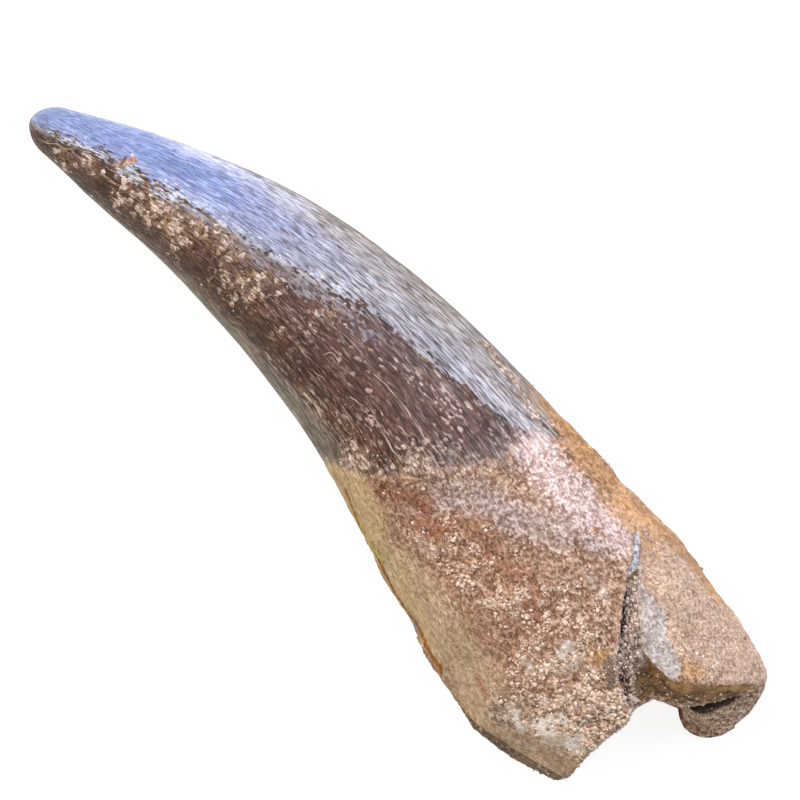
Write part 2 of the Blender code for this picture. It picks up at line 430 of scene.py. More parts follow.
    def crack_depth(self, station: np.ndarray, angle: np.ndarray) -> np.ndarray:
        """How far the crack, with the stone in it, and the sunken flake lie below the skin.

        Args:
            station: The stations asked for.
            angle: The angles asked for.

        Returns:
            The depth at each place.
        """
        lip, wall = straight_table(self.crack, station, 1), straight_table(self.crack, station, 2)
        deep = straight_table(self.crack, station, 3)
        share = (angle - wall) / (lip - wall)
        slot = straight_table(self.filling, station, 2) * ease(*self.slot_side, share)
        deep = np.minimum(deep, straight_table(self.filling, station) + slot)
        step = self.flake_step * ease(self.crack_start, self.flake_full, station)
        step = step * ease(wall - self.flake_spread, wall, angle)
        step = np.minimum(step, np.maximum(deep, step * (angle < wall)))
        inside = ease(wall + self.edge_margin, wall + (lip - wall) * self.crack_slope, angle)
        open_here = (station > self.crack_start) & (angle < lip - self.edge_margin)
        return np.where(open_here, step + (deep - step) * inside, 0.0)

    def ledge_edge(self, station: np.ndarray) -> np.ndarray:
        """The angle of the ledge's upper edge at each station."""
        steady = ease(self.ledge[0], self.ledge[2], station)
        return self.ledge_angle + self.ledge_swing * (1 - steady)

    def ledge_drop(self, station: np.ndarray, angle: np.ndarray) -> np.ndarray:
        """How far the broken strip on the concave side lies below the skin."""
        edge = self.ledge_edge(station)
        strip = ease(edge, edge + self.ledge_wall, angle) * (1 - ease(*self.ledge_lower, angle))
        station_off, reach, deep = self.dent
        dent = deep * (1 - ease(0.0, reach, np.abs(station - station_off))) * ease(*self.dent_from, angle)
        dent = dent * (1 - ease(*self.dent_to, angle))
        return self.ledge_depth * ease(self.ledge[0], self.ledge[1], station) * strip + dent

    def cavity_point(self, angle: np.ndarray, share: float = 0.0, size: float = 1.0) -> np.ndarray:
        """Points of the pulp cavity's wall.

        Args:
            angle: Their angles in degrees.
            share: How far they lie on the way from the cavity's lip to its floor.
            size: The share of the lip's size that the cavity has there.

        Returns:
            The points, in millimetres.
        """
        lip = straight_table(self.inner_lip, angle)
        offset, convex, concave, _, height = self.section(lip)
        turn = np.radians(angle)
        half_width = np.where(np.cos(turn) >= 0, convex, concave) * self.cavity_half_width * size
        slit = self.cavity_half_height * size * np.sin(turn)
        x = lip + share * (self.cavity_floor - lip) - self.length / 2
        centre = np.stack([x, offset, height + self.cavity_rise + slit], axis=-1)
        return centre + self.across(lip) * (half_width * np.cos(turn))[..., None]


# --------------------------------------------------------------------------- where each mark lies


@dataclass(frozen=True)
class Patch:
    """A soft-edged mark on the skin, round a path of stations and angles."""

    path: Table
    reach: float  # from the path to the mark's edge
    fade: float  # the width over which it fades out
    strength: float = 1.0

    def mask(self, form: ToothForm, station: np.ndarray, angle: np.ndarray) -> np.ndarray:
        """How much of the mark each place has.

        Args:
            form: The tooth.
            station: The places' stations.
            angle: The places' angles.

        Returns:
            A share from 0 to 1 for each place.
        """
        radius = form.radius(station)
        middle = float(np.mean([row[1] for row in self.path]))
        turned = (angle - middle + 180.0) % 360.0 - 180.0 + middle
        nearest = np.full(station.shape, np.inf)
        ends = self.path[1:] if len(self.path) > 1 else self.path
        for (s0, a0), (s1, a1) in zip(self.path, ends):
            along, round_it = s1 - s0, np.radians(a1 - a0) * radius
            to_s, to_a = station - s0, np.radians(turned - a0) * radius
            span = np.maximum(along * along + round_it * round_it, 1e-9)
            t = np.clip((to_s * along + to_a * round_it) / span, 0.0, 1.0)
            nearest = np.minimum(nearest, np.hypot(to_s - t * along, to_a - t * round_it))
        return self.strength * np.clip(0.5 + (self.reach - nearest) / self.fade, 0.0, 1.0)


@dataclass(frozen=True)
class Markings:
    """Where the enamel ends, and each stain, crust, bare mineral, painted shade and painted reflection lies."""

    # Angle and station of the enamel's lower border.
    enamel_end: Table = (
        (0, 28.8), (17, 29.4), (31, 31.2), (45, 31.1), (59, 30.8), (81, 30.2), (100, 28.7),
        (122, 27.6), (140, 26.5), (152, 25.8), (180, 25.4), (215, 25.9), (250, 27.2), (290, 28.6),
        (325, 28.4), (360, 28.8),
    )
    enamel_fade: float = 2.8
    # Station and angle of the lower border of the enamel that still has its polish.
    polish_edge: Table = (
        (0.0, 106.0), (0.5, 104.0), (2.2, 92.0), (4.1, 84.0), (7.1, 87.0), (12.3, 90.0), (14.5, 85.0),
        (16.7, 79.0), (19.3, 71.0), (24.0, 65.0), (27.4, 57.0), (30.8, 46.0), (33.0, 42.0),
    )
    polish_fade: float = 1.1
    polish_back_fade: float = 2.0
    # Station and angle of its upper border.
    polish_back: Table = ((0.0, -30.0), (5.0, -6.0), (9.0, 14.0), (14.0, 28.0), (20.0, 30.0), (31.0, 32.0))
    patches: tuple[tuple[str, tuple[Patch, ...]], ...] = (
        ("maroon", (
            Patch(((12.0, 108), (16.0, 104), (21.0, 96), (26.0, 90), (29.5, 84)), 2.6, 3.0),
        )),
        ("fibre", (
            Patch(((16.0, 156), (19.0, 153), (22.0, 150), (24.6, 144)), 0.6, 1.8, 0.7),
            Patch(((28.6, 92), (29.6, 80), (30.4, 66), (30.8, 52)), 0.9, 2.4, 0.65),
            Patch(((20.5, 72), (24.0, 70), (26.5, 64)), 0.5, 1.6, 0.5),
        )),
        ("crust", (
            Patch(((1.6, 120), (3.2, 122), (5.6, 108), (6.6, 112)), 0.55, 0.8, 0.50),
            Patch(((5.4, 122), (8.0, 119), (10.2, 114), (13.0, 112), (15.0, 112)), 1.0, 1.2, 0.50),
            Patch(((5.9, 110), (7.5, 108), (9.5, 104), (11.5, 98), (12.5, 95)), 0.5, 0.8, 0.55),
            Patch(((2.0, 146), (8.0, 140), (14.0, 130), (18.0, 122)), 0.9, 1.8, 0.24),
            Patch(((14.5, 96), (17.0, 94), (19.5, 86)), 0.6, 1.8, 0.34),
            Patch(((25.6, 136), (26.8, 124), (28.0, 110), (29.8, 94)), 0.8, 1.6, 0.65),
            Patch(((25.6, 18), (27.3, 24), (28.8, 31), (29.8, 34)), 0.5, 0.9, 0.7),
        )),
        ("golden", (
            Patch(((8.4, 112), (10.2, 103), (11.6, 103), (12.8, 106), (14.4, 110)), 0.65, 0.9, 0.70),
        )),
        ("dust", (
            Patch(((17.0, 104), (21.0, 106), (25.0, 104), (28.0, 96)), 2.6, 4.0, 0.15),
            Patch(((22.0, 78), (26.0, 74), (29.5, 66)), 1.2, 3.0, 0.24),
            Patch(((25.0, 118), (27.5, 104), (29.6, 84)), 0.8, 2.4, 0.40),
        )),
        ("flake", (Patch(((5.35, 88), (5.7, 81), (5.95, 74)), 0.17, 0.14),)),
        # Painted shade: the concave flank near the tip darkened.
        ("umber", (
            Patch(((1.0, 142), (6.0, 140), (12.0, 140), (17.0, 136)), 0.9, 1.6, 0.9),
        )),
        ("pits", (
            Patch(((9.35, 86.4), (9.85, 88.6)), 0.07, 0.08),
            Patch(((10.2, 87.1), (10.65, 87.5), (11.0, 87.5)), 0.09, 0.08),
            Patch(((18.3, 78), (18.7, 76)), 0.10, 0.12, 0.9),
            Patch(((19.2, 73.5), (19.6, 76)), 0.10, 0.12, 0.9),
        )),
        # A greenish-grey stain along the edges, partly a painted reflection of the surroundings.
        ("olive", (
            Patch(((1.0, 178), (5.0, 174), (12.0, 168)), 0.15, 0.7, 0.8),
            Patch(((12.0, 168), (19.0, 161), (24.6, 152)), 0.8, 2.0),
            Patch(((10.0, 4), (18.0, 4), (26.0, 5), (30.0, 7)), 0.45, 0.9),
        )),
        # Chalky weathering on the convex edge, lightened partly as a painted highlight.
        ("chalk", (
            Patch(((13.5, 24), (16.0, 26), (20.0, 25), (25.0, 24), (29.0, 26)), 1.0, 2.2),
        )),
        ("haze", (
            Patch(((0.6, 106), (3.0, 93), (4.6, 89)), 0.16, 0.4, 0.8),
            Patch(((5.6, 93), (6.6, 92)), 0.35, 0.6, 0.8),
            Patch(((8.0, 93), (12.5, 92), (16.5, 86), (19.0, 78)), 0.5, 1.0, 0.85),
            Patch(((18.4, 80), (19.4, 82), (20.2, 79)), 0.5, 0.8, 0.5),
            Patch(((20.0, 82), (21.5, 80)), 0.4, 1.0, 0.6),
            Patch(((4.0, 6), (9.0, 5)), 0.2, 0.6, 0.8),
        )),
        ("cream", (
            Patch(((26.6, 164), (28.5, 166), (31.5, 162), (34.0, 158)), 1.5, 2.4),
            Patch(((27.0, 149), (29.5, 150)), 1.1, 1.8, 0.95),
            Patch(((34.2, 79), (34.6, 77), (35.1, 74)), 0.16, 0.25, 0.9),
        )),
        ("tan", (
            Patch(((33.0, 152), (36.0, 144), (39.5, 142), (43.0, 146), (45.5, 151)), 2.0, 2.2),
        )),
        ("yellow", (Patch(((28.6, 167), (30.2, 166), (31.0, 164)), 0.5, 0.7),)),
        ("amber", (
            Patch(((31.0, 169), (32.2, 169.5), (34.2, 167.5), (36.0, 164), (37.2, 160)), 0.27, 0.22),
            Patch(((27.0, 160), (27.8, 164), (28.8, 168)), 0.2, 0.35, 0.8),
        )),
        ("ochre", (
            Patch(((30.0, 9), (31.6, 14), (33.5, 20), (36.0, 22), (38.5, 12), (42.0, 4)), 1.5, 2.4),
            Patch(((35.0, 35), (36.6, 36), (38.6, 35)), 0.7, 1.8, 0.8),
            Patch(((43.6, 16), (44.4, 15)), 0.5, 1.4, 0.45),
            Patch(((36.2, 54), (36.6, 53)), 0.16, 0.3),
            Patch(((41.1, 91), (41.6, 88)), 0.42, 0.5, 0.9),
            Patch(((44.9, 60), (45.2, 57)), 0.5, 1.2, 0.8),
            Patch(((46.0, 44), (46.8, 30)), 0.4, 1.2, 0.3),
        )),
        ("lobe", (
            Patch(((38.0, 22), (40.5, 30), (43.5, 34), (46.5, 20)), 3.0, 2.0),
        )),
        ("rust", (
            Patch(((28.2, 130), (29.9, 113), (31.1, 121), (31.7, 108)), 0.55, 1.2),
            Patch(((32.4, 99), (34.6, 100), (36.4, 92), (38.0, 100)), 0.7, 2.0, 0.85),
            Patch(((38.5, 138), (40.4, 138)), 0.22, 0.5, 0.8),
            Patch(((30.0, 128), (33.0, 124), (37.5, 124), (39.5, 122)), 0.6, 2.2, 0.6),
            Patch(((34.0, 104), (36.5, 108), (38.5, 112), (40.0, 116)), 1.0, 2.6, 0.55),
        )),
        # Pale grey-violet tone of the upper dentine, partly a painted sky reflection.
        ("lilac", (
            Patch(((29.4, 124), (29.9, 121)), 0.35, 0.7, 0.9),
            Patch(((30.0, 104), (31.2, 92), (33.6, 78), (35.2, 68)), 1.0, 2.0, 0.85),
            Patch(((36.2, 62), (37.2, 58)), 0.45, 0.9, 0.8),
        )),
        ("pink", (
            Patch(((31.2, 50), (33.0, 52), (35.0, 48), (37.0, 47)), 1.2, 2.2),
            Patch(((40.3, 23), (41.0, 24)), 0.8, 2.2, 0.55),
            Patch(((44.2, 44), (45.6, 36)), 1.0, 2.4, 0.4),
        )),
        ("rubble", (
            Patch(((41.4, 136), (43.0, 128), (43.9, 116), (44.4, 104)), 1.2, 2.4),
            Patch(((42.0, 100), (43.6, 98)), 0.8, 1.6, 0.8),
        )),
        ("bridge", (Patch(((39.30, 51), (39.36, 60)), 0.13, 0.12),)),
        ("pebbles", (
            Patch(((31.0, 112), (35.0, 104), (39.0, 90), (42.5, 98)), 3.6, 3.0, 0.20),
        )),
        ("beads", (
            Patch(((32.6, 110), (34.2, 103), (35.3, 101), (37.5, 92), (39.1, 80)), 1.1, 2.0),
            Patch(((35.5, 108), (38.0, 106), (39.4, 103)), 0.8, 1.6, 0.8),
            Patch(((40.0, 118), (42.0, 110), (43.8, 102), (45.0, 108)), 1.8, 2.4),
            Patch(((41.0, 90), (43.5, 97)), 0.9, 1.4),
        )),
        ("white", (
            Patch(((39.4, 113.5), (39.9, 113)), 0.22, 0.6, 0.8),
            Patch(((40.7, 106), (40.8, 105)), 0.15, 0.5, 0.8),
            Patch(((40.2, 97), (40.9, 96)), 0.45, 0.9, 0.8),
            Patch(((42.9, 125), (43.5, 124), (44.4, 122)), 0.80, 0.8),
            Patch(((40.9, 132), (42.0, 134)), 0.40, 1.1, 0.75),
            Patch(((41.6, 118), (42.4, 110)), 0.40, 1.2, 0.55),
            Patch(((31.4, 127), (32.2, 124)), 0.35, 1.0, 0.60),
            Patch(((37.9, 70), (39.1, 70)), 0.30, 1.0, 0.55),
        )),
        # Painted highlight: the sky reflection made paler and brighter along the polished enamel.
        ("pale_film", (
            Patch(((8.0, 16), (11.0, 22), (14.0, 32)), 0.9, 2.8, 0.85),
            Patch(((14.0, 50), (19.0, 56), (24.0, 52), (28.0, 48), (30.4, 46)), 0.7, 2.2, 0.42),
        )),
        ("grey", (
            Patch(((40.30, 58.0), (41.3, 57.5), (41.9, 58.5)), 0.68, 0.40),
            Patch(((42.3, 63.8), (43.3, 66.0), (44.2, 67.0)), 0.72, 0.40),
        )),
        ("shade", (
            Patch(((36.9, 65), (37.4, 62)), 0.16, 0.5, 0.7),
            Patch(((42.0, 87.0), (43.0, 91.0), (44.2, 95.5)), 0.22, 0.25),
        )),
    )
    dulled: tuple[str, ...] = ("dust", "crust", "maroon", "golden")  # what the polish stays free of
    clumped: tuple[str, ...] = ("crust", "dust", "pebbles", "rubble", "beads")
    clump_size: float = 1.7
    clump_share: float = 0.85
    clump_swing: float = 1.5
    clump_range: Pair = (0.1, 1.3)
    dulling: float = 0.85  # how far the polish stays free of them
    # The marks whose stone is of a more even tone, and by how much.
    calms: tuple[tuple[str, float], ...] = (
        ("grey", 0.55), ("tan", 0.50), ("cream", 0.50), ("lobe", 0.30), ("ochre", 0.20), ("white", 0.80),
        ("pink", 0.20), ("lilac", 0.20),
    )
    blue_fades: Pair = (8.0, 21.0)  # stations between which the painted sky reflection turns from blue to grey

    def polish(self, form: ToothForm, station: np.ndarray, angle: np.ndarray) -> np.ndarray:
        """Where the enamel has kept its polish.

        Args:
            form: The tooth.
            station: The places' stations.
            angle: The places' angles.

        Returns:
            A share from 0 to 1 for each place.
        """
        signed = np.where(angle > 180.0, angle - 360.0, angle)
        radius = form.radius(station)
        below = np.radians(straight_table(self.polish_edge, station) - signed) * radius
        above = np.radians(signed - straight_table(self.polish_back, station)) * radius
        return np.clip(0.5 + np.minimum(below / self.polish_fade, above / self.polish_back_fade), 0.0, 1.0)

    def masks(self, form: ToothForm, station: np.ndarray, angle: np.ndarray) -> Masks:
        """Every mark's share at each place.

        Args:
            form: The tooth.
            station: The places' stations.
            angle: The places' angles.

        Returns:
            One array for each mark's name.
        """
        found = {}
        clumps = soft_noise(form.skin_point(station, angle), self.clump_size, 6.1)
        clumps = np.clip(self.clump_share + self.clump_swing * clumps, *self.clump_range)
        for name, parts in self.patches:
            shares = [part.mask(form, station, angle) for part in parts]
            found[name] = np.maximum.reduce(shares) * (clumps if name in self.clumped else 1.0)
        end = straight_table(self.enamel_end, angle)
        found["enamel"] = np.clip(0.5 + (end - station) / self.enamel_fade, 0.0, 1.0)
        found["polish"] = self.polish(form, station, angle) * found["enamel"]
        found["blue"] = 1 - ease(*self.blue_fades, station)
        for name in self.dulled:
            found[name] = found[name] * (1 - self.dulling * found["polish"])
        found["calm"] = np.maximum.reduce([share * found[name] for name, share in self.calms])
        return found


# --------------------------------------------------------------------------- the tooth's surface


@dataclass(frozen=True)
class ToothSurface:
    """The whole tooth as one fine mesh: ridged crown, granular root, crack, break and cavity."""

    form: ToothForm
    markings: Markings
    top_columns: int = 212
    under_columns: int = 108
    wall_column: int = 66
    lip_column: int = 88
    turn_start: float = 30.5  # where the columns begin to follow the crack
    nose_rings: int = 11
    nose_first: float = 7.0  # degrees round the tip of its first ring
    body_rings: int = 188
    body_end: float = 34.0
    root_rings: int = 76
    break_rings: int = 14
    # The share of the way down the cavity and the share of its lip's size.
    cavity_rings: Table = (
        (0.12, 0.97), (0.35, 0.94), (0.55, 0.88), (0.75, 0.82), (0.9, 0.68), (1.0, 0.45), (1.0, 0.2),
    )
    cavity_knob: Pair = (0.5, 0.10)  # width and height
    tip_cap: float = 0.01
    streak_stretch: float = 9.0  # how much longer than wide the enamel's streaks are

    # Enamel ridges.
    ridge_width: float = 0.30
    ridge_height: float = 0.022
    fine_ridge_width: float = 0.17
    fine_ridge_height: float = 0.010
    # The root's grain.
    knobs: Table = ((1.5, 0.085), (0.62, 0.085), (0.30, 0.060))  # width and height of each size
    crown_knob_share: float = 0.10
    fibrous: tuple[str, ...] = ("tan", "cream", "amber", "yellow")  # marks with a smoother skin
    fibrous_calm: float = 0.65
    crust_knobs: Table = ((0.55, 0.060), (0.27, 0.055))
    crust_hollow: float = -0.2  # the crust's noise is cut off below this
    crust_step: float = 0.03  # how far the crust and the flake stand out of the enamel
    flake_step: float = 0.05
    grain_height: float = 0.06  # the knobs' height that counts as a full grain
    break_reach: float = 1.6  # about how far it is from the skin's edge to the cavity's lip
    break_bulge: float = 0.12
    break_knobs: Table = ((0.9, 0.22), (0.36, 0.11), (0.22, 0.05))
    hook_calm: float = 0.60  # how much less the break swells along the hook's edge
    hook_bulge: float = 0.25  # but it is rounded there
    hollow_power: int = 8  # how soon behind the edge the hook's hollow is full
    patch_step: float = 0.05  # the bare grey patch lies this much below the skin round it
    crack_opens: float = 0.4  # the stretch over which the crack's filling begins
    slot_shade_full: float = 0.5  # the depth at which the gap's painted shade is full
    rim_width: float = 0.05  # of the crack's pale rims, as a share of its width
    lip_share: float = 0.7
    slope_ends: Pair = (84.0, 94.0)  # the angles at which the break's stains end
    slope_strength: float = 0.75
    ochre_ends: Pair = (72.0, 80.0)
    # Angles between which the break's low fold gets painted shade.
    low_shade_from: Pair = (284.0, 290.0)
    low_shade_to: Pair = (350.0, 358.0)
    slope_calm: float = 0.7

    @property
    def columns(self) -> int:
        """The number of points in a ring."""
        return self.top_columns + self.under_columns

    def column_angle(self, column: np.ndarray, station: np.ndarray) -> np.ndarray:
        """The angle of mesh columns, led along the crack's two sides on the root.

        Args:
            column: The columns' numbers.
            station: The stations they are asked for at.

        Returns:
            Angles in degrees.
        """
        per_column = 180.0 / self.top_columns
        upper = column * per_column
        lower = 180.0 + (column - self.top_columns) * 180.0 / self.under_columns
        marks = np.array([0.0, self.wall_column * per_column, self.lip_column * per_column, 180.0])
        along = np.maximum(station, self.form.crack_start)
        turned = ease(self.turn_start, self.form.crack_start, station)
        wall = marks[1] + (straight_table(self.form.crack, along, 2) - marks[1]) * turned
        lip = marks[2] + (straight_table(self.form.crack, along, 1) - marks[2]) * turned
        below = upper / marks[1] * wall
        between = wall + (upper - marks[1]) / (marks[2] - marks[1]) * (lip - wall)
        above = lip + (upper - marks[2]) / (marks[3] - marks[2]) * (180.0 - lip)
        led = np.where(upper < marks[1], below, np.where(upper < marks[2], between, above))
        return np.where(column < self.top_columns, led, lower)

    def grid(self) -> tuple[np.ndarray, np.ndarray, np.ndarray]:
        """The station, angle and section share of every point between the tip and the broken edge.

        Returns:
            Three arrays with a row for each ring and a column for each point round it.
        """
        column = np.arange(self.columns)
        turns = np.radians(np.linspace(self.nose_first, 90.0, self.nose_rings))
        nose = self.form.nose * (1 - np.cos(turns))
        body = np.linspace(self.form.nose, self.body_end, self.body_rings + 1)[1:]
        straight = np.concatenate([nose, body])
        stations = [np.full(self.columns, s) for s in straight]
        base = np.full(self.columns, self.form.base_station)
        edge = straight_table(self.form.outer_edge, self.column_angle(column, base))
        for ring in range(1, self.root_rings + 1):
            share = ring / self.root_rings
            stations.append(self.body_end + share * (edge - self.body_end))
        station = np.array(stations)
        angle = self.column_angle(np.broadcast_to(column, station.shape), station)
        scale = np.ones(station.shape)
        scale[: self.nose_rings] = np.sin(turns)[:, None]
        return station, angle, scale

    def streak_point(self, station: np.ndarray, angle: np.ndarray) -> np.ndarray:
        """Coordinates in which the enamel's streaks are drawn out along the tooth.

        The girth grows with the square root of the radius, so that a ridge widens slowly from the
        tip to the root and its pattern has no seam.

        Args:
            station: The places' stations.
            angle: The places' angles.

        Returns:
            Three coordinates for each place.
        """
        girth = 2 * np.sqrt(self.form.radius(station))
        turn = np.radians(angle)
        return np.stack([station / self.streak_stretch, girth * np.cos(turn), girth * np.sin(turn)], axis=-1)

    def relief(self, station: np.ndarray, angle: np.ndarray, masks: Masks) -> Masks:
        """How far each place stands out of the plain form, and the grain of it alone.

        Args:
            station: The places' stations.
            angle: The places' angles.
            masks: The marks' shares there.

        Returns:
            "rise", the whole height in millimetres, and "grain", the fine part, from about -1 to 1.
        """
        form = self.form
        plain = form.skin_point(station, angle)
        rooted = ease(*form.lumps_grow, station)
        swell = form.lump * (form.crown_lump_share + (1 - form.crown_lump_share) * rooted)
        swell = swell * soft_noise(plain, form.lump_wavelength)
        bare = 1 - masks["enamel"]
        knobs = sum(height * soft_noise(plain, width, 3.7 * width) for width, height in self.knobs)
        streak = self.streak_point(station, angle)
        ridges = self.ridge_height * soft_noise(streak, self.ridge_width, 5.1)
        ridges = ridges + self.fine_ridge_height * soft_noise(streak, self.fine_ridge_width, 9.3)
        crust = sum(
            height * np.maximum(soft_noise(plain, width, 7.7), self.crust_hollow)
            for width, height in self.crust_knobs
        )
        knobs = knobs * (self.crown_knob_share + (1 - self.crown_knob_share) * bare)
        fibrous = np.maximum.reduce([masks[name] for name in self.fibrous])
        knobs = knobs * (1 - self.fibrous_calm * fibrous)
        crusty = ease(0.25, 0.8, masks["crust"])
        rise = swell + knobs + ridges * ease(1.0, 4.0, station) * masks["enamel"] + crust * crusty
        rise = rise + self.crust_step * crusty + self.flake_step * ease(0.3, 0.8, masks["flake"])
        rise = rise - self.patch_step * ease(0.35, 0.65, masks["grey"])
        return {"rise": rise, "grain": np.clip(knobs / self.grain_height, -1, 1)}

    def skin(self, station: np.ndarray, angle: np.ndarray, scale: Any = 1.0) -> tuple[np.ndarray, dict]:
        """Points of the finished skin, with its relief, crack and ledge.

        Args:
            station: The places' stations.
            angle: The places' angles.
            scale: What share of the section's size they lie at.

        Returns:
            The points in millimetres, and every mark's share at them.
        """
        form = self.form
        masks = self.markings.masks(form, station, angle)
        relief = self.relief(station, angle, masks)
        masks["grain"] = relief["grain"]
        depth = form.crack_depth(station, angle) + form.ledge_drop(station, angle) - relief["rise"] * scale
        return form.skin_point(station, angle, depth, scale), masks

    def build(self, material: Any) -> Any:
        """Builds the tooth's mesh.

        Args:
            material: Its material.

        Returns:
            The object.
        """
        form = self.form
        station, angle, scale = self.grid()
        skin, masks = self.skin(station, angle, scale)
        skin[..., :2] += form.hooked(skin, station, angle)
        self.add_crack_masks(masks, station, angle)
        streak = self.streak_point(station, angle)

        column = np.arange(self.columns)
        base_angle = self.column_angle(column, np.full(self.columns, form.base_station))
        rings, shares = self.wall_rings(skin[-1], base_angle)
        edge = {name: grid[-1] for name, grid in masks.items()}
        broken = self.break_masks(np.array(shares), base_angle, edge)
        points = np.concatenate([skin, np.array(rings)])
        values = {name: np.concatenate([grid, broken[name]]) for name, grid in masks.items()}
        inward = np.array(shares)[:, None] * self.break_reach / self.streak_stretch * STROKE_STRETCH
        beyond = streak[-1] + inward[..., None] * (1.0, 0.0, 0.0)
        streaks = np.concatenate([streak, beyond])
        return self.loft(points, values, streaks, material)

    def add_crack_masks(self, masks: Masks, station: np.ndarray, angle: np.ndarray) -> None:
        """Adds the marks of the crack, its filling and the ledge, and empty ones for the break.

        Args:
            masks: The marks' shares, which gain these.
            station: The places' stations.
            angle: The places' angles.
        """
        form = self.form
        share = form.crack_share(station, angle)
        cracked = ease(form.crack_start, form.crack_start + self.crack_opens, station)
        cracked = cracked * ease(-0.03, 0.06, share) * (1 - ease(0.98, 1.03, share))
        masks["filling"] = cracked * (angle < 180)
        # Painted shade in the crack's gap, darker where the filling lies deeper.
        slot = straight_table(form.filling, station, 2) * ease(0.5, 0.85, share)
        masks["slot"] = masks["filling"] * np.clip(slot / self.slot_shade_full, 0, 1)
        masks["gravel"] = masks["filling"] * ease(*form.gravel_from, station)
        masks["bridge"] = masks["bridge"] * masks["filling"]
        rim = np.exp(-((share + 0.06) / self.rim_width) ** 2)
        rim = rim * ease(38.8, 39.6, station) * (1 - ease(43.0, 43.6, station))
        lip = np.exp(-((share - 1.04) / self.rim_width) ** 2) * ease(39.6, 40.6, station)
        masks["rim"] = np.maximum(rim, self.lip_share * lip)
        # The flaked band's mark; its dark colour is partly painted shade under the ledge.
        strip = form.ledge_drop(station, angle) / form.ledge_depth
        masks["strip"] = np.clip(strip, 0, 1)
        for name in ("broken", "slope", "ochre_rim", "crease"):
            masks[name] = np.zeros(station.shape)

    def wall_rings(self, outer: np.ndarray, angle: np.ndarray) -> tuple[list[np.ndarray], list[float]]:
        """The rings of the broken wall and of the cavity behind it.

        Args:
            outer: The points of the skin's broken edge.
            angle: The columns' angles there.

        Returns:
            The rings' points, and how far in each lies.
        """
        form = self.form
        lip_points = form.cavity_point(angle)
        hooked = ease(*form.hook_from, angle) * (1 - ease(*form.hook_to, angle))
        hollow = ease(*form.hollow_from, angle) * (1 - ease(*form.hollow_to, angle))
        rings, shares = [], []
        for ring in range(1, self.break_rings + 1):
            t = ring / self.break_rings
            point = outer + (lip_points - outer) * t
            knobs = sum(height * soft_noise(point, width) for width, height in self.break_knobs)
            swell = (self.break_bulge + knobs) * (1 - self.hook_calm * hooked) + self.hook_bulge * hooked
            swell = swell * math.sin(math.pi * t)
            back = form.hook_hollow * hollow * (1 - (1 - t) ** self.hollow_power) * (1 - t)
            rings.append(point + np.outer(swell, (1, 0, 0)) + np.outer(back, (0, 1, 0)))
            shares.append(t)
        width, height = self.cavity_knob
        for t, size in self.cavity_rings:
            point = form.cavity_point(angle, t, size)
            rings.append(point + height * soft_noise(point, width)[:, None])
            shares.append(1.0 + t)
        return rings, shares

    def break_masks(self, share: np.ndarray, angle: np.ndarray, edge: Masks) -> Masks:
        """The marks' shares on the broken wall and in the cavity.

        Args:
            share: How far in each ring lies: 0 at the skin, 1 at the cavity's lip, 2 at its floor.
            angle: The columns' angles at the base.
            edge: The marks' shares at the skin's edge.

        Returns:
            One array for each mark's name.
        """
        inward = share[:, None] * np.ones(self.columns)
        left = 1 - ease(0.0, 0.35, inward)
        found = {name: row * left for name, row in edge.items()}
        found["broken"] = ease(0.0, 0.2, inward)
        upper = 1 - ease(*self.slope_ends, angle)
        lower = ease(*self.low_shade_from, angle) * (1 - ease(*self.low_shade_to, angle))
        found["slope"] = self.slope_strength * upper * (1 - ease(0.8, 1.0, inward))
        edge_band = (1 - ease(0.15, 0.50, inward)) * ease(0.0, 0.05, inward)
        found["ochre_rim"] = (1 - ease(*self.ochre_ends, angle)) * edge_band
        # Painted shade inside the pulp cavity and along the break's low fold.
        found["crease"] = np.maximum(ease(0.97, 1.12, inward), lower * ease(0.80, 0.95, inward))
        found["calm"] = np.maximum(found["calm"], self.slope_calm * found["slope"])
        return found

    def loft(self, rings: np.ndarray, values: Masks, streaks: np.ndarray, material: Any) -> Any:
        """One closed mesh through all the rings, with a point at each end.

        Args:
            rings: The points, a row for each ring.
            values: The marks' shares at them.
            streaks: Their streak coordinates.
            material: The material.

        Returns:
            The object.
        """
        count = len(rings)
        first = rings[0].mean(axis=0) - (self.tip_cap, 0, 0)
        points = np.vstack([first[None], rings.reshape(-1, 3), rings[-1].mean(axis=0)[None]])
        points[:, 2] = np.maximum(points[:, 2], 0.0)
        near = np.arange(self.columns)
        far = (near + 1) % self.columns
        faces = [(0, 1 + int(j), 1 + int(i)) for i, j in zip(near, far)]
        for ring in range(count - 1):
            here, there = 1 + ring * self.columns, 1 + (ring + 1) * self.columns
            faces += np.stack([here + near, here + far, there + far, there + near], axis=1).tolist()
        last, end = 1 + (count - 1) * self.columns, len(points) - 1
        faces += [(end, last + int(i), last + int(j)) for i, j in zip(near, far)]
        marks = {name: self.with_ends(grid.reshape(-1)) for name, grid in values.items()}
        marks["streak"] = self.with_ends(streaks.reshape(-1, 3))
        return mesh_object("fossil_tooth", points, faces, material, marks)

    @staticmethod
    def with_ends(rows: np.ndarray) -> np.ndarray:
        """The rows with the first and the last one repeated, for the two end points."""
        return np.concatenate([rows[:1], rows, rows[-1:]])


# --------------------------------------------------------------------------- loose grains


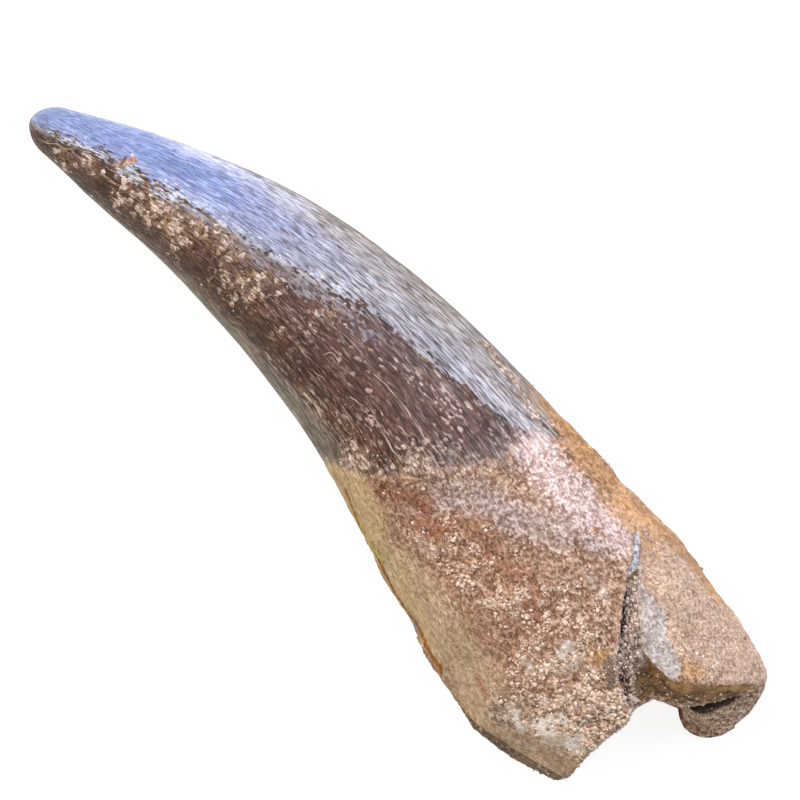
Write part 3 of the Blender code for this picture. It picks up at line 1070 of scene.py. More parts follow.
@dataclass(frozen=True)
class GrainBed:
    """Sand grains stuck to one part of the tooth, as one joined mesh."""

    name: str
    marks: tuple[tuple[str, float], ...]  # the marks that the grains keep to, and their shares
    everywhere: float  # the share of grains that keep to no mark
    keep_out: tuple[str, ...]  # marks that stay free of grains
    count: int
    smallest: float
    largest: float
    seed: int
    sunk: float = 0.5  # how much of its radius a grain is sunk into the skin
    roughness: float = 0.22  # how uneven a grain is
    gather: float = 0.0  # the size of the clusters that the grains gather in
    mineral: bool = False  # chips of mineral rather than sand
    gather_base: float = 0.35  # how thick the clusters lie on average, and how much that varies
    gather_swing: float = 2.2
    size_power: float = 2.5  # the higher, the rarer large grains are
    stray: float = 0.06
    stretch: Pair = (0.6, 1.15)  # how much longer or shorter one side of a grain may be

    def build(self, tooth: Any, material: Any) -> Any:
        """Scatters the grains over the tooth.

        Args:
            tooth: The tooth's object.
            material: The grains' material.

        Returns:
            The object.
        """
        rng = np.random.default_rng(self.seed)
        mesh = tooth.data
        count = len(mesh.polygons)
        centres, normals, areas = np.empty(count * 3), np.empty(count * 3), np.empty(count)
        starts = np.empty(count, dtype=np.int32)
        wanted = {"center": centres, "normal": normals, "area": areas, "loop_start": starts}
        for name, found in wanted.items():
            mesh.polygons.foreach_get(name, found)
        centres, normals = centres.reshape(-1, 3) / MM, normals.reshape(-1, 3)
        corner = np.empty(len(mesh.loops), dtype=np.int32)
        mesh.loops.foreach_get("vertex_index", corner)
        at = corner[starts]
        share = np.full(count, self.everywhere)
        for mark, amount in self.marks:
            share += amount * self.mark(mesh, mark)[at]
        for mark in self.keep_out:
            share *= 1 - self.mark(mesh, mark)[at]
        if self.gather:
            clusters = self.gather_base + self.gather_swing * soft_noise(centres, self.gather, 2.3)
            share = share * np.clip(clusters, 0.02, None) ** 2
        weight = areas * share
        chosen = rng.choice(count, self.count, p=weight / weight.sum())
        radius = self.smallest + (self.largest - self.smallest) * rng.random(self.count) ** self.size_power
        jitter = rng.normal(0.0, self.stray, (self.count, 3))
        normal = normals[chosen]
        jitter -= normal * np.sum(jitter * normal, axis=1)[:, None]
        middle = centres[chosen] + jitter + normal * (radius * (1 - 2 * self.sunk))[:, None] * 0.5
        corners, sides = self.pebble()
        turned = self.turns(rng)
        uneven = rng.normal(0.0, 1.0, (self.count, len(corners), 1))
        shapes = corners[None] * (1 + self.roughness * uneven)
        shapes = shapes * rng.uniform(*self.stretch, (self.count, 1, 3))
        shapes = np.einsum("nij,nkj->nki", turned, shapes) * radius[:, None, None]
        points = (middle[:, None] + shapes).reshape(-1, 3)
        faces = (sides[None] + (np.arange(self.count) * len(corners))[:, None, None]).reshape(-1, 3)
        tone = np.repeat(rng.random(self.count), len(corners))
        return mesh_object(self.name, points, faces.tolist(), material, {"tone": tone}, not self.mineral)

    @staticmethod
    def mark(mesh: Any, name: str) -> np.ndarray:
        """A mark's share at each point of the mesh."""
        found = np.empty(len(mesh.vertices), dtype=np.float32)
        mesh.attributes[name].data.foreach_get("value", found)
        return found

    @staticmethod
    def pebble() -> tuple[np.ndarray, np.ndarray]:
        """The corners and sides of a twenty-sided pebble of radius 1."""
        g = (1 + math.sqrt(5)) / 2
        corners = [(-1, g, 0), (1, g, 0), (-1, -g, 0), (1, -g, 0), (0, -1, g), (0, 1, g)]
        corners += [(0, -1, -g), (0, 1, -g), (g, 0, -1), (g, 0, 1), (-g, 0, -1), (-g, 0, 1)]
        sides = [(0, 11, 5), (0, 5, 1), (0, 1, 7), (0, 7, 10), (0, 10, 11)]
        sides += [(1, 5, 9), (5, 11, 4), (11, 10, 2), (10, 7, 6), (7, 1, 8)]
        sides += [(3, 9, 4), (3, 4, 2), (3, 2, 6), (3, 6, 8), (3, 8, 9)]
        sides += [(4, 9, 5), (2, 4, 11), (6, 2, 10), (8, 6, 7), (9, 8, 1)]
        points = np.array(corners, float)
        return points / np.linalg.norm(points[0]), np.array(sides)

    def turns(self, rng: np.random.Generator) -> np.ndarray:
        """A random turn for each grain.

        Args:
            rng: The source of random numbers.

        Returns:
            One rotation matrix for each grain.
        """
        q = rng.normal(size=(self.count, 4))
        w, x, y, z = (q / np.linalg.norm(q, axis=1)[:, None]).T
        rows = [
            [1 - 2 * (y * y + z * z), 2 * (x * y - z * w), 2 * (x * z + y * w)],
            [2 * (x * y + z * w), 1 - 2 * (x * x + z * z), 2 * (y * z - x * w)],
            [2 * (x * z - y * w), 2 * (y * z + x * w), 1 - 2 * (x * x + y * y)],
        ]
        return np.moveaxis(np.array(rows), 2, 0)


@dataclass(frozen=True)
class Thread:
    """A thin pale thread of mineral in a scratch or along a wall of the crack."""

    path: Table  # stations and angles
    thickness: float  # its radius
    tone: float


@dataclass(frozen=True)
class Chip:
    """One angular chip of mineral stuck to the skin."""

    station: float
    angle: float
    size: tuple[float, float, float]  # along the tooth, across it and outwards
    turn: float  # degrees
    tone: float


@dataclass(frozen=True)
class Deposits:
    """Threads and chips of pale mineral, as one joined mesh."""

    threads: tuple[Thread, ...]
    chips: tuple[Chip, ...]
    step: float = 0.05
    sides: int = 5
    waver: float = 0.09  # how far a thread strays to each side
    waver_length: float = 0.45
    breaks: float = 0.55  # the length of the thick and thin stretches of a thread
    uneven: float = 0.24
    seed: int = 71

    def build(self, surface: ToothSurface, material: Any) -> Any:
        """Lays the threads and chips on the tooth.

        Args:
            surface: The tooth's surface.
            material: Their material.

        Returns:
            The object.
        """
        points, faces, tones = [], [], []
        rng = np.random.default_rng(self.seed)
        parts = [(self.tube(surface, thread), thread.tone) for thread in self.threads]
        parts += [(self.chip(surface, chip, rng), chip.tone) for chip in self.chips]
        for (corners, sides), tone in parts:
            faces += (sides + len(points)).tolist()
            points += corners.tolist()
            tones += [tone] * len(corners)
        tones = {"tone": np.array(tones)}
        return mesh_object("mineral_chips", np.array(points), faces, material, tones, smooth=False)

    def tube(self, surface: ToothSurface, thread: Thread) -> tuple[np.ndarray, np.ndarray]:
        """A tube along a thread's path, thinned and thickened at random.

        Args:
            surface: The tooth's surface.
            thread: The thread.

        Returns:
            Its points and its faces.
        """
        path = np.asarray(thread.path, float)
        radius = float(surface.form.radius(path[:1, 0])[0])
        legs = np.hypot(np.diff(path[:, 0]), np.radians(np.diff(path[:, 1])) * radius)
        reach = np.concatenate([[0.0], np.cumsum(legs)])
        along = np.arange(0.0, reach[-1], self.step)
        seat = np.stack([along, np.full_like(along, path[0, 0]), np.full_like(along, path[0, 1])], axis=-1)
        stray = self.waver * soft_noise(seat, self.waver_length)
        station = np.interp(along, reach, path[:, 0]) + stray * 0.4
        angle = np.interp(along, reach, path[:, 1]) + np.degrees(stray / radius)
        thick = np.clip(0.55 + 1.3 * soft_noise(seat, self.breaks, 4.4), 0.12, 1.0)
        thick = thread.thickness * thick * np.sin(np.pi * np.clip(along / reach[-1], 0.03, 0.97)) ** 0.3
        middle, _ = surface.skin(station, angle)
        outward = surface.form.skin_point(station, angle, -1.0) - surface.form.skin_point(station, angle)
        heading = np.gradient(middle, axis=0)
        heading = heading / np.linalg.norm(heading, axis=1)[:, None]
        side = np.cross(heading, outward)
        turn = np.arange(self.sides) * 2 * np.pi / self.sides
        ring = outward[:, None] * np.sin(turn)[None, :, None] + side[:, None] * np.cos(turn)[None, :, None]
        corners = (middle[:, None] + ring * thick[:, None, None]).reshape(-1, 3)
        count = len(along)
        here = (np.arange(count - 1) * self.sides)[:, None] + np.arange(self.sides)
        turned = (np.arange(count - 1) * self.sides)[:, None] + (np.arange(self.sides) + 1) % self.sides
        faces = np.stack([here, turned, turned + self.sides, here + self.sides], axis=-1).reshape(-1, 4)
        return corners, faces

    def chip(
        self, surface: ToothSurface, chip: Chip, rng: np.random.Generator
    ) -> tuple[np.ndarray, np.ndarray]:
        """An angular chip, half sunk into the skin.

        Args:
            surface: The tooth's surface.
            chip: The chip.
            rng: The source of its uneven corners.

        Returns:
            Its points and its faces.
        """
        station, angle = np.array([chip.station]), np.array([chip.angle])
        middle, _ = surface.skin(station, angle)
        outward = surface.form.skin_point(station, angle, -1.0) - surface.form.skin_point(station, angle)
        outward = outward[0]
        outward = outward / np.linalg.norm(outward)
        along = np.array([1.0, 0.0, 0.0]) - outward[0] * outward
        along = along / np.linalg.norm(along)
        side = np.cross(outward, along)
        turn = math.radians(chip.turn)
        ahead = along * math.cos(turn) + side * math.sin(turn)
        aside = side * math.cos(turn) - along * math.sin(turn)
        corners, sides = GrainBed.pebble()
        corners = corners * (1 + self.uneven * rng.normal(0.0, 1.0, (len(corners), 1)))
        corners = corners * np.array(chip.size) / 2
        return middle + corners @ np.stack([ahead, aside, outward]), sides


# --------------------------------------------------------------------------- finishes


@dataclass(frozen=True)
class Pattern:
    """Noise of one real size, from which the finish draws its marks."""

    name: str
    width: float  # millimetres
    grain: Grain
    detail: float = 2.0
    twist: float = 0.0  # how far it is curled up
    angular: bool = False  # cells of one value each, as crushed mineral has


@dataclass(frozen=True)
class Layer:
    """One mineral, stain or deposit that shows on the fossil."""

    mark: str  # the mark that says where it lies
    colour: str
    mottle: str  # its second colour
    pattern: str  # the pattern that mottles it and frays its edge
    ragged: float = 0.5  # how far the pattern pushes its edge about, as a share of the mark
    crisp: float = 0.12  # half the share over which it fades in
    cover: float = 1.0
    much: float = 1.0  # how much of the mark counts
    tone: str = ""  # the pattern that mottles it, where that is another one


@dataclass(frozen=True)
class FossilFinish:
    """Weathered tooth enamel over stained dentine, dug from phosphate sand.

    The enamel is dark, hard and still polished along the convex side, where it is glossy and its
    colour carries a painted sky reflection; fine lines run along it where it has worn through. The
    dentine of the root is porous and granular, pink-tan with iron and ochre stains.
    """

    patterns: tuple[Pattern, ...] = (
        Pattern("striae", 0.085, Grain.ALONG, 2.0),
        Pattern("threads", 0.30, Grain.ALONG, 2.0, 0.3),
        Pattern("streaks", 0.10, Grain.ALONG, 3.0, 0.2),
        Pattern("bands", 0.50, Grain.STROKE, 3.0, 0.5),
        Pattern("strokes", 0.15, Grain.STROKE, 3.0, 0.5),
        Pattern("flecks", 0.20, Grain.STROKE, 3.0, 0.6),
        Pattern("chips", 0.34, Grain.SOLID, 3.0, 0.6),
        Pattern("facets", 0.27, Grain.SOLID, angular=True),
        Pattern("splinters", 0.10, Grain.STROKE, angular=True),
        Pattern("grit", 0.085, Grain.STROKE, 2.0, 0.4),
        Pattern("specks", 0.13, Grain.SOLID, 1.0, 0.3),
        Pattern("grains", 0.26, Grain.SOLID, 2.0, 0.3),
        Pattern("mottles", 0.62, Grain.SOLID, 3.0, 0.5),
        Pattern("blotches", 0.90, Grain.SOLID, 3.0, 0.5),
        Pattern("drifts", 2.4, Grain.SOLID, 2.0),
    )
    # Shares worked from the patterns: name, pattern, where it is 0 and where it is 1.
    shares: tuple[tuple[str, str, float, float], ...] = (
        ("banded", "bands", 0.40, 0.60),
        ("dusty", "strokes", 0.59, 0.66),
        ("drifting", "drifts", 0.30, 0.62),
        ("speckled", "splinters", 0.80, 0.84),
        ("uncut", "striae", 0.40, 0.47),
        ("silky", "streaks", 0.38, 0.62),
        ("streaky", "streaks", 0.40, 0.60),
        ("gritty", "grit", 0.42, 0.57),
        ("grained", "grains", 0.43, 0.58),
        ("patchy", "blotches", 0.36, 0.62),
        ("blotchy", "mottles", 0.40, 0.60),
    )
    # Thin lines along a pattern's middle values: name, pattern and half their width in its values.
    ridges: tuple[tuple[str, str, float], ...] = (("lined", "threads", 0.035),)
    enamel: str = "#3e2415"
    enamel_mottle: str = "#5c3e29"
    dust: str = "#b79e8c"
    scratch: str = "#cdb9a9"  # the mineral in the enamel's fine scratches
    layers: tuple[Layer, ...] = (
        # Weathered enamel along the convex edge: chalky and lined, its paleness partly a painted highlight.
        Layer("chalk", "#b1a9a2", "#6b6058", "striae", 0.9, 0.30, 0.85),
        Layer("haze", "#c2c4ca", "#8c8b8a", "splinters", 1.0, 0.10, 0.85),
        Layer("maroon", "#614139", "#462c25", "streaks", 0.8, 0.30, 0.65),
        Layer("fibre", "#a2968a", "#665747", "striae", 1.2, 0.25, 0.75),
        # Painted shade darkening the concave flank near the tip.
        Layer("umber", "#4a3620", "#33230f", "strokes", 0.6, 0.30, 0.75),
        # A greenish-grey stain at the edges, partly a painted reflection of the surroundings.
        Layer("olive", "#81755c", "#4c412e", "striae", 0.6, 0.35, 0.75),
        # Bare dentine: pinkish tan, granular.
        Layer("bare", "#b9967a", "#97735a", "mottles", 1.8, 0.24, 1.0, 1.0, "grains"),
        Layer("lobe", "#d4b59c", "#bd9d80", "specks", 0.7, 0.30, 0.95),
        Layer("pink", "#e2cbc0", "#c4a598", "grains", 0.7, 0.25, 0.95),
        Layer("tan", "#c4aa88", "#ae9070", "flecks", 0.6, 0.30, 0.9),
        Layer("cream", "#cdb38b", "#b5986b", "streaks", 0.6, 0.20, 0.95),
        Layer("pebbles", "#d2b89e", "#b99a7e", "grains", 3.0, 0.07, 0.7),
        # Pale grey-violet tone over the upper dentine, partly a painted sky reflection.
        Layer("lilac", "#c6b1a6", "#a8938a", "grains", 0.8, 0.3, 0.8),
        # Iron stains.
        Layer("rust", "#a7785a", "#8b593f", "mottles", 0.9, 0.3, 0.85),
        Layer("ochre", "#c49360", "#a77a48", "mottles", 0.8, 0.35, 0.8),
        Layer("yellow", "#c4ac66", "#a08a48", "grains", 0.4, 0.2, 0.9),
        Layer("amber", "#a66c18", "#7a4f1e", "grains", 0.4, 0.2, 1.0),
        # A painted pale highlight in the polish, then deposits.
        Layer("pale_film", "#d2d2e2", "#b8b5c6", "streaks", 0.9, 0.35, 0.70),
        Layer("rubble", "#cdb8a2", "#7c6049", "grains", 1.0, 0.25, 0.9),
        Layer("dust", "#bda596", "#93796c", "splinters", 1.0, 0.08, 0.8),
        Layer("crust", "#94745a", "#6a4c36", "splinters", 1.0, 0.08, 0.8, 1.2, "flecks"),
        Layer("golden", "#a5895f", "#795c38", "facets", 1.2, 0.10, 0.8, 0.7, "flecks"),
        Layer("crust", "#d4c1b1", "#987d6a", "facets", 1.0, 0.05, 0.88, 0.85, "splinters"),
        Layer("pits", "#2b211c", "#45201a", "streaks", 0.4, 0.12, 0.9),
        Layer("flake", "#c0a48e", "#94583a", "grains", 0.3, 0.10, 1.0),
        Layer("white", "#efe3d2", "#cfbda6", "mottles", 0.6, 0.35, 0.95),
        Layer("grey", "#cebfb2", "#b0a095", "grains", 0.35, 0.06, 1.0),
        Layer("shade", "#6b5947", "#8a7763", "grains", 0.8, 0.2, 0.85),
        # The band where the concave side has flaked off, darkened partly as painted shade under the ledge.
        Layer("strip", "#7f664b", "#4e3b29", "grains", 0.9, 0.3, 0.85),
        # The broken wall.
        Layer("broken", "#d2b395", "#8b6f53", "grains", 0.3, 0.2, 1.0),
        Layer("slope", "#966f3f", "#5c3f20", "mottles", 0.4, 0.2, 0.95),
        Layer("ochre_rim", "#bb9058", "#997040", "mottles", 0.4, 0.3, 0.9),
        # Painted shade: dark inside the pulp cavity and along the break's low fold.
        Layer("crease", "#33200f", "#54391f", "grains", 0.3, 0.2, 1.0),
        # The crack: stone filling, its deep gap darkened as painted shade, and pale rims.
        Layer("filling", "#c8c0bc", "#968e8a", "grains", 0.3, 0.15, 1.0),
        Layer("gravel", "#ab9581", "#6f5b4a", "grains", 0.8, 0.15, 0.95),
        Layer("bridge", "#857550", "#6a5a3a", "grains", 0.6, 0.2, 0.95),
        Layer("slot", "#6a584c", "#43362d", "grains", 0.8, 0.2, 1.0),
        Layer("rim", "#d8c2a4", "#b89e80", "grains", 0.2, 0.15, 0.9),
    )
    painted_sky_film: str = "#8496c4"  # painted sky-blue reflection in the polished enamel's colour near the tip
    painted_sky_deep: str = "#6b81b6"
    painted_sky_line: str = "#adbcdd"
    painted_sky_grey: str = "#aaa5a5"  # and the greyer painted reflection nearer the root
    painted_sky_grey_deep: str = "#7d7778"
    painted_sky_grey_line: str = "#cdcbc3"
    painted_sky_cover: float = 0.85
    edge_rise: float = 8.0  # how fast a layer may rise from nothing
    line_cover: float = 0.5
    worn_through: Pair = (0.15, 0.80)  # of its fine lines, near the tip and the root
    # How much of the stone's tone each share gives, which add up to 1.
    grit_parts: tuple[tuple[str, float], ...] = (("gritty", 0.58), ("grained", 0.24), ("blotchy", 0.18))
    # How each tone of the pattern changes the stain under it: red, green and blue.
    grit_dark: tuple[float, float, float] = (0.50, 0.39, 0.31)
    grit_light: tuple[float, float, float] = (1.46, 1.55, 1.62)
    streak_dark: tuple[float, float, float] = (0.66, 0.64, 0.62)
    streak_light: tuple[float, float, float] = (1.34, 1.37, 1.40)
    polished: float = 0.25  # roughness where the enamel has kept its polish
    worn: float = 0.50
    stony: float = 0.85
    gloss: float = 0.25  # specular level: dust dulls all but the polished enamel
    coat_roughness: float = 0.18
    coat_share: Pair = (0.25, 0.80)  # of the polished enamel's dark and pale streaks
    ior: float = 1.6
    # Heights of the fine relief, in millimetres.
    ridge_relief: float = 0.030
    calm: float = 0.6  # how much less the painted sky reflection varies in tone
    grit_relief: float = 0.10
    grain_relief: float = 0.16
    chip_relief: float = 0.10

    def build(self) -> Any:
        """Makes the tooth's material.

        Returns:
            The material.
        """
        material = bpy.data.materials.new("weathered_enamel_and_dentine")
        material.use_nodes = True
        tree = material.node_tree
        shader = tree.nodes["Principled BSDF"]
        shader.inputs["IOR"].default_value = self.ior
        shader.inputs["Specular IOR Level"].default_value = self.gloss
        shader.inputs["Coat Roughness"].default_value = self.coat_roughness
        add = partial(add_node, tree)
        look = self.draw_patterns(add)
        self.find_bloom(add, look)
        colour = self.enamel_colour(add, look)
        for layer in self.layers:
            colour = self.lay(add, look, layer, colour)
        tree.links.new(self.toned(add, look, colour), shader.inputs["Base Color"])
        tree.links.new(self.roughness(add, look), shader.inputs["Roughness"])
        glaze = add(Kind.CLIMB, (look["streaks"], 0.40, 0.60, *self.coat_share), **SMOOTH)
        glaze = add(Kind.MATHS, (glaze, look["bloom"]), operation="MULTIPLY")
        tree.links.new(glaze, shader.inputs["Coat Weight"])
        bump = {"Strength": 1.0, "Distance": MM, "Height": self.relief(add, look)}
        tree.links.new(add(Kind.BUMP, bump), shader.inputs["Normal"])
        return material

    def draw_patterns(self, add: Any) -> Look:
        """Every pattern, share and mark that the finish uses.

        Args:
            add: Adds a node to the material's tree.

        Returns:
            The output of each, by its name.
        """
        place = add(Kind.PLACE, output="Object")
        along = add(Kind.MARK, output="Vector", attribute_name="streak")
        vectors = {
            Grain.SOLID: add(Kind.VECTOR, {0: place, 3: 1 / MM}, operation="SCALE"),
            Grain.ALONG: along,
            Grain.STROKE: add(Kind.VECTOR, (along, STROKE_SHORTER), operation="MULTIPLY"),
        }
        look = {}
        for pattern in self.patterns:
            size = {"Vector": vectors[pattern.grain], "Scale": 1 / pattern.width}
            form = {"Detail": pattern.detail, "Roughness": 0.6, "Distortion": pattern.twist}
            if pattern.angular:
                look[pattern.name] = add(Kind.CELLS, size, "Color")
            else:
                look[pattern.name] = add(Kind.NOISE, size | form)
        for name, pattern, low, high in self.shares:
            look[name] = add(Kind.CLIMB, (look[pattern], low, high, 0.0, 1.0), **SMOOTH)
        for name, pattern, half_width in self.ridges:
            off = add(Kind.MATHS, (look[pattern], 0.5), operation="SUBTRACT")
            off = add(Kind.MATHS, (off,), operation="ABSOLUTE")
            look[name] = add(Kind.CLIMB, (off, 0.0, half_width, 1.0, 0.0), **SMOOTH)
        marks = {"enamel", "polish", "blue", "calm"} | {layer.mark for layer in self.layers} - {"bare"}
        for name in sorted(marks):
            look[name] = add(Kind.MARK, output="Fac", attribute_name=name)
        look["bare"] = add(Kind.MATHS, (1.0, look["enamel"]), operation="SUBTRACT")
        look["stone"] = add(Kind.CLIMB, (look["bare"], 0.3, 0.7, 0.0, 1.0), **SMOOTH)
        return look

    def find_bloom(self, add: Any, look: Look) -> None:
        """Works out where polish and painted sky reflection lie, with an edge broken by scratches and chips.

        Args:
            add: Adds a node to the material's tree.
            look: The patterns and shares, which gain the share of kept polish and painted sky reflection.
        """
        frayed = look["polish"]
        for name, pull in (("streaks", 1.2), ("blotches", 1.4), ("chips", 1.4)):
            off = add(Kind.MATHS, (look[name], 0.5), operation="SUBTRACT")
            frayed = add(Kind.MATHS, (off, pull, frayed), operation="MULTIPLY_ADD")
        shine = add(Kind.CLIMB, (frayed, 0.44, 0.54, 0.0, 1.0), **SMOOTH)
        wear = add(Kind.CLIMB, (look["blue"], 1.0, 0.0, *self.worn_through))
        cut = add(Kind.MATHS, (1.0, look["uncut"]), operation="SUBTRACT")
        cut = add(Kind.MATHS, (cut, wear), operation="MULTIPLY")
        kept = add(Kind.MATHS, (1.0, cut), operation="SUBTRACT")
        look["bloom"] = add(Kind.MATHS, (shine, kept), operation="MULTIPLY")

    def enamel_colour(self, add: Any, look: Look) -> Any:
        """Dark enamel with dust in its scratches, and a painted sky reflection where it is polished.

        Args:
            add: Adds a node to the material's tree.
            look: The patterns and shares.

        Returns:
            The colour.
        """
        dusty = add(Kind.MATHS, (look["dusty"], look["drifting"]), operation="MULTIPLY")
        lined = add(Kind.MATHS, (look["lined"], look["patchy"]), operation="MULTIPLY")
        speckled = add(Kind.MATHS, (look["speckled"], look["patchy"]), operation="MULTIPLY")
        mixes = (
            (look["banded"], 1.0, linear(self.enamel_mottle)),
            (dusty, 0.75, linear(self.dust)),
            (lined, 0.9, linear(self.scratch)),
            (speckled, 0.6, linear(self.dust)),
        )
        colour = linear(self.enamel)
        for share, cover, over in mixes:
            share = add(Kind.MATHS, (share, cover), operation="MULTIPLY")
            colour = add(Kind.MIX, {0: share, 6: colour, 7: over}, 2, **COLOUR)
        # Painted sky reflection in the polished enamel's colour: blue near the tip, grey nearer the root.
        blooms = []
        films = (
            (self.painted_sky_grey_deep, self.painted_sky_deep),
            (self.painted_sky_grey, self.painted_sky_film),
            (self.painted_sky_grey_line, self.painted_sky_line),
        )
        for far, near in films:
            blooms.append(add(Kind.MIX, {0: look["blue"], 6: linear(far), 7: linear(near)}, 2, **COLOUR))
        painted_sky_film = add(Kind.MIX, {0: look["silky"], 6: blooms[0], 7: blooms[1]}, 2, **COLOUR)
        pale = add(Kind.MATHS, (look["lined"], self.line_cover), operation="MULTIPLY")
        painted_sky_film = add(Kind.MIX, {0: pale, 6: painted_sky_film, 7: blooms[2]}, 2, **COLOUR)
        cover = add(Kind.MATHS, (look["bloom"], self.painted_sky_cover), operation="MULTIPLY")
        return add(Kind.MIX, {0: cover, 6: colour, 7: painted_sky_film}, 2, **COLOUR)

    def lay(self, add: Any, look: Look, layer: Layer, under: Any) -> Any:
        """Lays a stain or deposit over the colour so far.

        Args:
            add: Adds a node to the material's tree.
            look: The patterns and shares.
            layer: The stain or deposit.
            under: The colour below it.

        Returns:
            The colour with it.
        """
        rough = look[layer.pattern]
        off = add(Kind.MATHS, (rough, 0.5), operation="SUBTRACT")
        mark = add(Kind.MATHS, (look[layer.mark], layer.much), operation="MULTIPLY")
        pushed = add(Kind.MATHS, (off, layer.ragged, mark), operation="MULTIPLY_ADD")
        most = add(Kind.MATHS, (look[layer.mark], self.edge_rise), operation="MULTIPLY")
        pushed = add(Kind.MATHS, (pushed, most), operation="MINIMUM")
        fade = (0.5 - layer.crisp, 0.5 + layer.crisp, 0.0, layer.cover)
        share = add(Kind.CLIMB, (pushed, *fade), **SMOOTH)
        mottled = look[layer.tone or layer.pattern]
        tone = add(Kind.CLIMB, (mottled, 0.40, 0.60, 0.0, 1.0), **SMOOTH)
        tint = add(Kind.MIX, {0: tone, 6: linear(layer.mottle), 7: linear(layer.colour)}, 2, **COLOUR)
        return add(Kind.MIX, {0: share, 6: under, 7: tint}, 2, **COLOUR)

    def toned(self, add: Any, look: Look, colour: Any) -> Any:
        """The colour with the stone's pale grains and dark gaps, or the enamel's streaks.

        Args:
            add: Adds a node to the material's tree.
            look: The patterns and shares.
            colour: The colour under them.

        Returns:
            The toned colour.
        """
        both = 0.0
        for name, part in self.grit_parts:
            both = add(Kind.MATHS, (look[name], part, both), operation="MULTIPLY_ADD")
        tones = []
        ranges = (
            (both, self.grit_dark, self.grit_light),
            (look["streaky"], self.streak_dark, self.streak_light),
        )
        for share, dark, light in ranges:
            tones.append(add(Kind.MIX, {0: share, 6: (*dark, 1.0), 7: (*light, 1.0)}, 2, **COLOUR))
        tone = add(Kind.MIX, {0: look["stone"], 6: tones[1], 7: tones[0]}, 2, **COLOUR)
        calm = add(Kind.MATHS, (look["bloom"], self.calm), operation="MULTIPLY")
        calm = add(Kind.MATHS, (calm, look["calm"]), operation="MAXIMUM")
        tone = add(Kind.MIX, {0: calm, 6: tone, 7: (1.0, 1.0, 1.0, 1.0)}, 2, **COLOUR)
        swell = add(Kind.CLIMB, (look["drifts"], 0.35, 0.65, 0.90, 1.10), **SMOOTH)
        tone = add(Kind.VECTOR, {0: tone, 3: swell}, operation="SCALE")
        return add(Kind.VECTOR, (colour, tone), operation="MULTIPLY")

    def roughness(self, add: Any, look: Look) -> Any:
        """How rough each place is: polished enamel, worn enamel, crust and stone.

        Args:
            add: Adds a node to the material's tree.
            look: The patterns and shares.

        Returns:
            The roughness.
        """
        gained = self.polished - self.worn
        rough = add(Kind.MATHS, (look["bloom"], gained, self.worn), operation="MULTIPLY_ADD")
        lost = add(Kind.MATHS, (self.stony, rough), operation="SUBTRACT")
        return add(Kind.MATHS, (look["stone"], lost, rough), operation="MULTIPLY_ADD")

    def relief(self, add: Any, look: Look) -> Any:
        """The height of the fine ridges, grains and chips, too small for the mesh.

        Args:
            add: Adds a node to the material's tree.
            look: The patterns and shares.

        Returns:
            The height in millimetres.
        """
        crusty = add(Kind.CLIMB, (look["crust"], 0.2, 0.5, 0.0, 1.0), **SMOOTH)
        height = 0.0
        parts = (
            ("streaks", "enamel", self.ridge_relief),
            ("striae", "enamel", self.ridge_relief),
            ("grit", "stone", self.grit_relief),
            ("grains", "stone", self.grain_relief),
        )
        for pattern, where, tall in parts:
            part = add(Kind.MATHS, (look[pattern], look[where]), operation="MULTIPLY")
            height = add(Kind.MATHS, (part, tall, height), operation="MULTIPLY_ADD")
        part = add(Kind.MATHS, (look["chips"], crusty), operation="MULTIPLY")
        return add(Kind.MATHS, (part, self.chip_relief, height), operation="MULTIPLY_ADD")


@dataclass(frozen=True)
class SandFinish:
    """Phosphate sand and mineral chips: pale, dull, each grain of one tone."""

    name: str
    tones: tuple[tuple[float, str], ...]
    roughness: float = 0.8
    gloss: float = 0.3
    ior: float = 1.6

    def build(self) -> Any:
        """Makes the grains' material.

        Returns:
            The material.
        """
        material = bpy.data.materials.new(self.name)
        material.use_nodes = True
        tree = material.node_tree
        shader = tree.nodes["Principled BSDF"]
        shader.inputs["Roughness"].default_value = self.roughness
        shader.inputs["Specular IOR Level"].default_value = self.gloss
        shader.inputs["IOR"].default_value = self.ior
        tone = add_node(tree, Kind.MARK, output="Fac", attribute_name="tone")
        colour = add_node(tree, Kind.RAMP, {"Fac": tone}, "Color")
        elements = colour.node.color_ramp.elements
        while len(elements) < len(self.tones):
            elements.new(0.5)
        for element, (where, shade) in zip(elements, self.tones):
            element.position = where
            element.color = linear(shade)
        tree.links.new(colour, shader.inputs["Base Color"])
        return material


SAND = SandFinish(
    "phosphate_sand",
    ((0.0, "#8c6a53"), (0.25, "#bd9b80"), (0.6, "#dcc0a6"), (0.9, "#ecd5bd"), (1.0, "#f4e3cf")),
)
CHIPS = SandFinish(
    "mineral_chips",
    ((0.0, "#5a3c28"), (0.35, "#8a6853"), (0.75, "#b89a88"), (1.0, "#dcc8b6")),
)


# --------------------------------------------------------------------------- the studio


@dataclass(frozen=True)
class Panel:
    """A soft light panel that faces the tooth."""

    name: str
    azimuth: float  # degrees from +X towards +Y
    elevation: float
    distance: float  # metres
    width: float
    height: float
    colour: str
    watts: float

    def build(self) -> None:
        """Hangs the panel."""
        lamp = bpy.data.lights.new(self.name, "AREA")
        lamp.shape = "RECTANGLE"
        lamp.size = self.width
        lamp.size_y = self.height
        lamp.energy = self.watts
        lamp.color = linear(self.colour)[:3]
        turn, tilt = math.radians(self.azimuth), math.radians(self.elevation)
        away = Vector((math.cos(tilt) * math.cos(turn), math.cos(tilt) * math.sin(turn), math.sin(tilt)))
        holder = bpy.data.objects.new(self.name, lamp)
        holder.location = away * self.distance
        holder.rotation_euler = away.to_track_quat("Z", "Y").to_euler()
        holder.visible_camera = False
        bpy.context.scene.collection.objects.link(holder)


